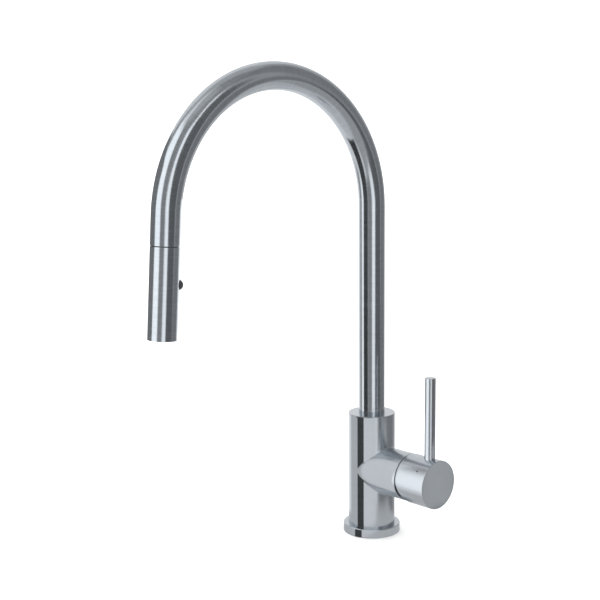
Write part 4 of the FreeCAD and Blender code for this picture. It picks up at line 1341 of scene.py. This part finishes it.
@dataclass
class Studio:
    """White floor, white surroundings, soft panels for the metal to reflect, and the camera."""

    floor_size: float = 6.0
    floor_tone: float = 0.98
    fill: float = 1.6
    camera_place: Vec = (0.79523, -0.82939, 0.41738)
    heading_degrees: float = 47.2157
    pitch_degrees: float = -9.305
    roll_degrees: float = -0.54
    lens: float = 72.96
    panels: tuple[Panel, ...] = (
        Panel(-180, 180, 0.85),
        Panel(130, 180, 1.18, -90, 14, 9.0),
        Panel(-165, -149, 0.32, -90, 62, 2.5),
        Panel(-149, -138, 0.62),
        Panel(-138, -79, 1.48, -90, 58),
        Panel(-79, -43, 0.30),
        Panel(-43, -17, 1.22, soft=3.0),
        Panel(-17, 38, 0.15),
        Panel(-46, 38, 0.30, 16, 90, 8.0),
        Panel(38, 88, 0.25),
        Panel(88, 109, 0.40, soft=9.0),
        Panel(109, 130, 0.72, soft=9.0),
        Panel(-180, 180, 0.92, -90, -27, 5.0),
        Panel(-62, 62, 0.45, -90, -27, 5.0),
        Panel(62, 122, 0.62, -90, -27, 5.0),
        Panel(-180, 180, 0.70, -90, -60, 8.0),
        Panel(-180, 180, 0.50, 58, 90, 6.0),
        Panel(-132, -96, 1.00, 58, 90, 6.0),
        Panel(10, 60, 0.30, 58, 90, 6.0),
    )
    halo: Halo = Halo()
    cards: tuple[Card, ...] = (
        Card.upright("card_riser_dark", 0.045, (-15.3, -40, 111), (10.5, -40, 366)),
        Card.upright("card_riser_back", 0.7, (-17, -41, 111), (12, -41, 367)),
        Card.upright("card_body_low", 0.045, (2.1, -23.1, 8.4), (9.2, -21.6, 55.0), 7.2),
        Card.upright("card_body_high", 0.045, (2.1, -23.1, 67.0), (9.2, -21.6, 118), 0.0, 7.2),
        Card.upright("card_body_left", 0.62, (-30, -26, 8.6), (4, -26, 116.3)),
        Card.upright("card_body_right", 0.86, (4, -26, 8.6), (45, -26, 116.3)),
        Card.upright("card_flange_dark", 0.045, (3.4, -28.0, -3), (11.0, -26.3, 8)),
        Card.upright("card_flange_left", 0.66, (-40, -31, -20), (6, -31, 8)),
        Card.upright("card_flange_right", 0.8, (6, -31, -20), (60, -31, 8)),
        Card.upright("card_cap", 0.52, (112, 0, 30), (112, 56, 92)),
        Card.upright("card_head_dark", 0.22, (-40, -321, 190), (-40, -225, 410)),
        Card.upright("card_head_rim", 1.2, (-41, -200, 190), (8, -200, 335)),
        Card("card_deck", 0.62, ((-70, -70, -1), (120, -70, -1), (120, 70, -1), (-70, 70, -1))),
    )

    def world(self) -> None:
        """Set the surroundings: the panels in reflections, plain white for everything else."""
        world = bpy.data.worlds.new("studio")
        world.use_nodes = True
        bpy.context.scene.world = world
        net = Net(world.node_tree)
        x, y, z = net.parts(net.coordinates("Generated"))
        azimuth = y.maths("ARCTAN2", y, x) * (180 / math.pi)
        elevation = z.maths("ARCSINE", z) * (180 / math.pi)
        light = self.panels[0].bright
        for panel in self.panels[1:]:
            mask = self.mask(elevation, panel.low, panel.high, panel.soft, 90)
            mask = self.mask(azimuth, panel.left, panel.right, panel.soft, 180) * mask
            light = mask * panel.bright + (1 - mask) * light
        halo = self.halo
        level = math.cos(math.radians(halo.elevation))
        east = level * math.cos(math.radians(halo.azimuth))
        north = level * math.sin(math.radians(halo.azimuth))
        near = x * east + y * north + z * math.sin(math.radians(halo.elevation))
        apart = near.maths("ARCCOSINE", near) * (180 / math.pi)
        above = elevation.step(halo.foot, halo.foot + 8)
        mask = self.mask(apart, -180, halo.inner, 3.0, 180) * above * azimuth.step(-22, -14)
        light = mask * halo.inside + (1 - mask) * light
        swollen = apart - (1 - azimuth.step(-26, -8)) * halo.swell
        mask = self.mask(apart, halo.inner, 180, 0.8, 180) * above
        mask = self.mask(swollen, -180, halo.outer, 0.8, 180) * mask
        faded = azimuth.step(halo.dim_from - 5, halo.dim_from + 5)
        ring = faded * halo.dim + (1 - faded) * halo.bright
        light = mask * ring + (1 - mask) * light
        glossy = Shade(net, net.node("ShaderNodeLightPath").outputs["Is Glossy Ray"])
        strength = glossy * light + (1 - glossy) * self.fill
        background = net.node("ShaderNodeBackground", values={"Color": (1, 1, 1), "Strength": strength})
        net.node("ShaderNodeOutputWorld", values={"Surface": background.outputs[0]})

    @staticmethod
    def mask(angle: Shade, low: float, high: float, soft: float, limit: float) -> Shade | float:
        """Give 1 between two angles and 0 outside, with soft edges.

        Args:
            angle: The direction's azimuth or elevation in degrees.
            low: Where the panel begins.
            high: Where it ends.
            soft: Half the width of a soft edge.
            limit: The largest angle there is: an end that lies there has no edge.

        Returns:
            The share of the panel in that direction.
        """
        share = 1.0
        if low > -limit:
            share = angle.step(low - soft, low + soft)
        if high < limit:
            share = share * (1 - angle.step(high - soft, high + soft))
        return share

    def card(self, card: Card) -> None:
        """Hang one card, seen only in reflections."""
        corners = np.array(card.corners) * MM
        mesh = bpy.data.meshes.new(card.name)
        mesh.from_pydata(corners, [], [(0, 1, 2, 3)])
        material = bpy.data.materials.new(card.name)
        material.use_nodes = True
        net = Net(material.node_tree)
        glow = net.node("ShaderNodeEmission", values={"Color": (1, 1, 1), "Strength": card.bright})
        net.node("ShaderNodeOutputMaterial", values={"Surface": glow.outputs[0]})
        mesh.materials.append(material)
        hung = bpy.data.objects.new(card.name, mesh)
        bpy.context.scene.collection.objects.link(hung)
        hung.visible_camera = False
        hung.visible_diffuse = False
        hung.visible_shadow = False
        hung.visible_transmission = False

    def floor(self) -> None:
        """Lay the white floor under the flange, out of the metal's reflections."""
        half = self.floor_size / 2
        corners = ((-half, -half, 0.0), (half, -half, 0.0), (half, half, 0.0), (-half, half, 0.0))
        mesh = bpy.data.meshes.new("floor")
        mesh.from_pydata(corners, [], [(0, 1, 2, 3)])
        material = bpy.data.materials.new("floor_white")
        material.use_nodes = True
        net = Net(material.node_tree)
        tone = self.floor_tone
        speck = net.noise(net.coordinates("Object"), 3.0, 2.0)
        colour = net.blended(speck, (tone, tone, tone), (tone - 0.01, tone - 0.01, tone - 0.01))
        net.surface(Base_Color=colour, Roughness=1.0)
        mesh.materials.append(material)
        floor = bpy.data.objects.new("floor", mesh)
        bpy.context.scene.collection.objects.link(floor)
        floor.visible_glossy = False

    def camera(self) -> None:
        """Place the camera."""
        data = bpy.data.cameras.new("view")
        data.lens = self.lens
        data.sensor_width = 36.0
        data.clip_end = 20.0
        camera = bpy.data.objects.new("view", data)
        turn = Euler((math.radians(90 + self.pitch_degrees), 0, math.radians(self.heading_degrees)), "XYZ")
        roll = Matrix.Rotation(math.radians(self.roll_degrees), 4, "Z")
        camera.matrix_world = Matrix.Translation(self.camera_place) @ turn.to_matrix().to_4x4() @ roll
        bpy.context.scene.collection.objects.link(camera)
        bpy.context.scene.camera = camera

    def build(self) -> None:
        """Set up the whole studio."""
        bpy.context.scene.view_settings.view_transform = "Standard"
        self.world()
        self.floor()
        for card in self.cards:
            self.card(card)
        self.camera()


def main() -> None:
    """Load the frame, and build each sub-assembly and the studio."""
    logging.basicConfig(level=logging.INFO, format="%(name)s: %(message)s")
    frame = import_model()
    shop = Workshop()
    dress_frame(shop, frame)
    spout = Spout(shop)
    head = SprayHead(shop, frame["nodes"], spout)
    for assembly in (DeckFitting(shop), ValveBody(shop), spout, Handle(shop), head):
        assembly.build()
    Studio().build()


if __name__ == "__main__":
    main()
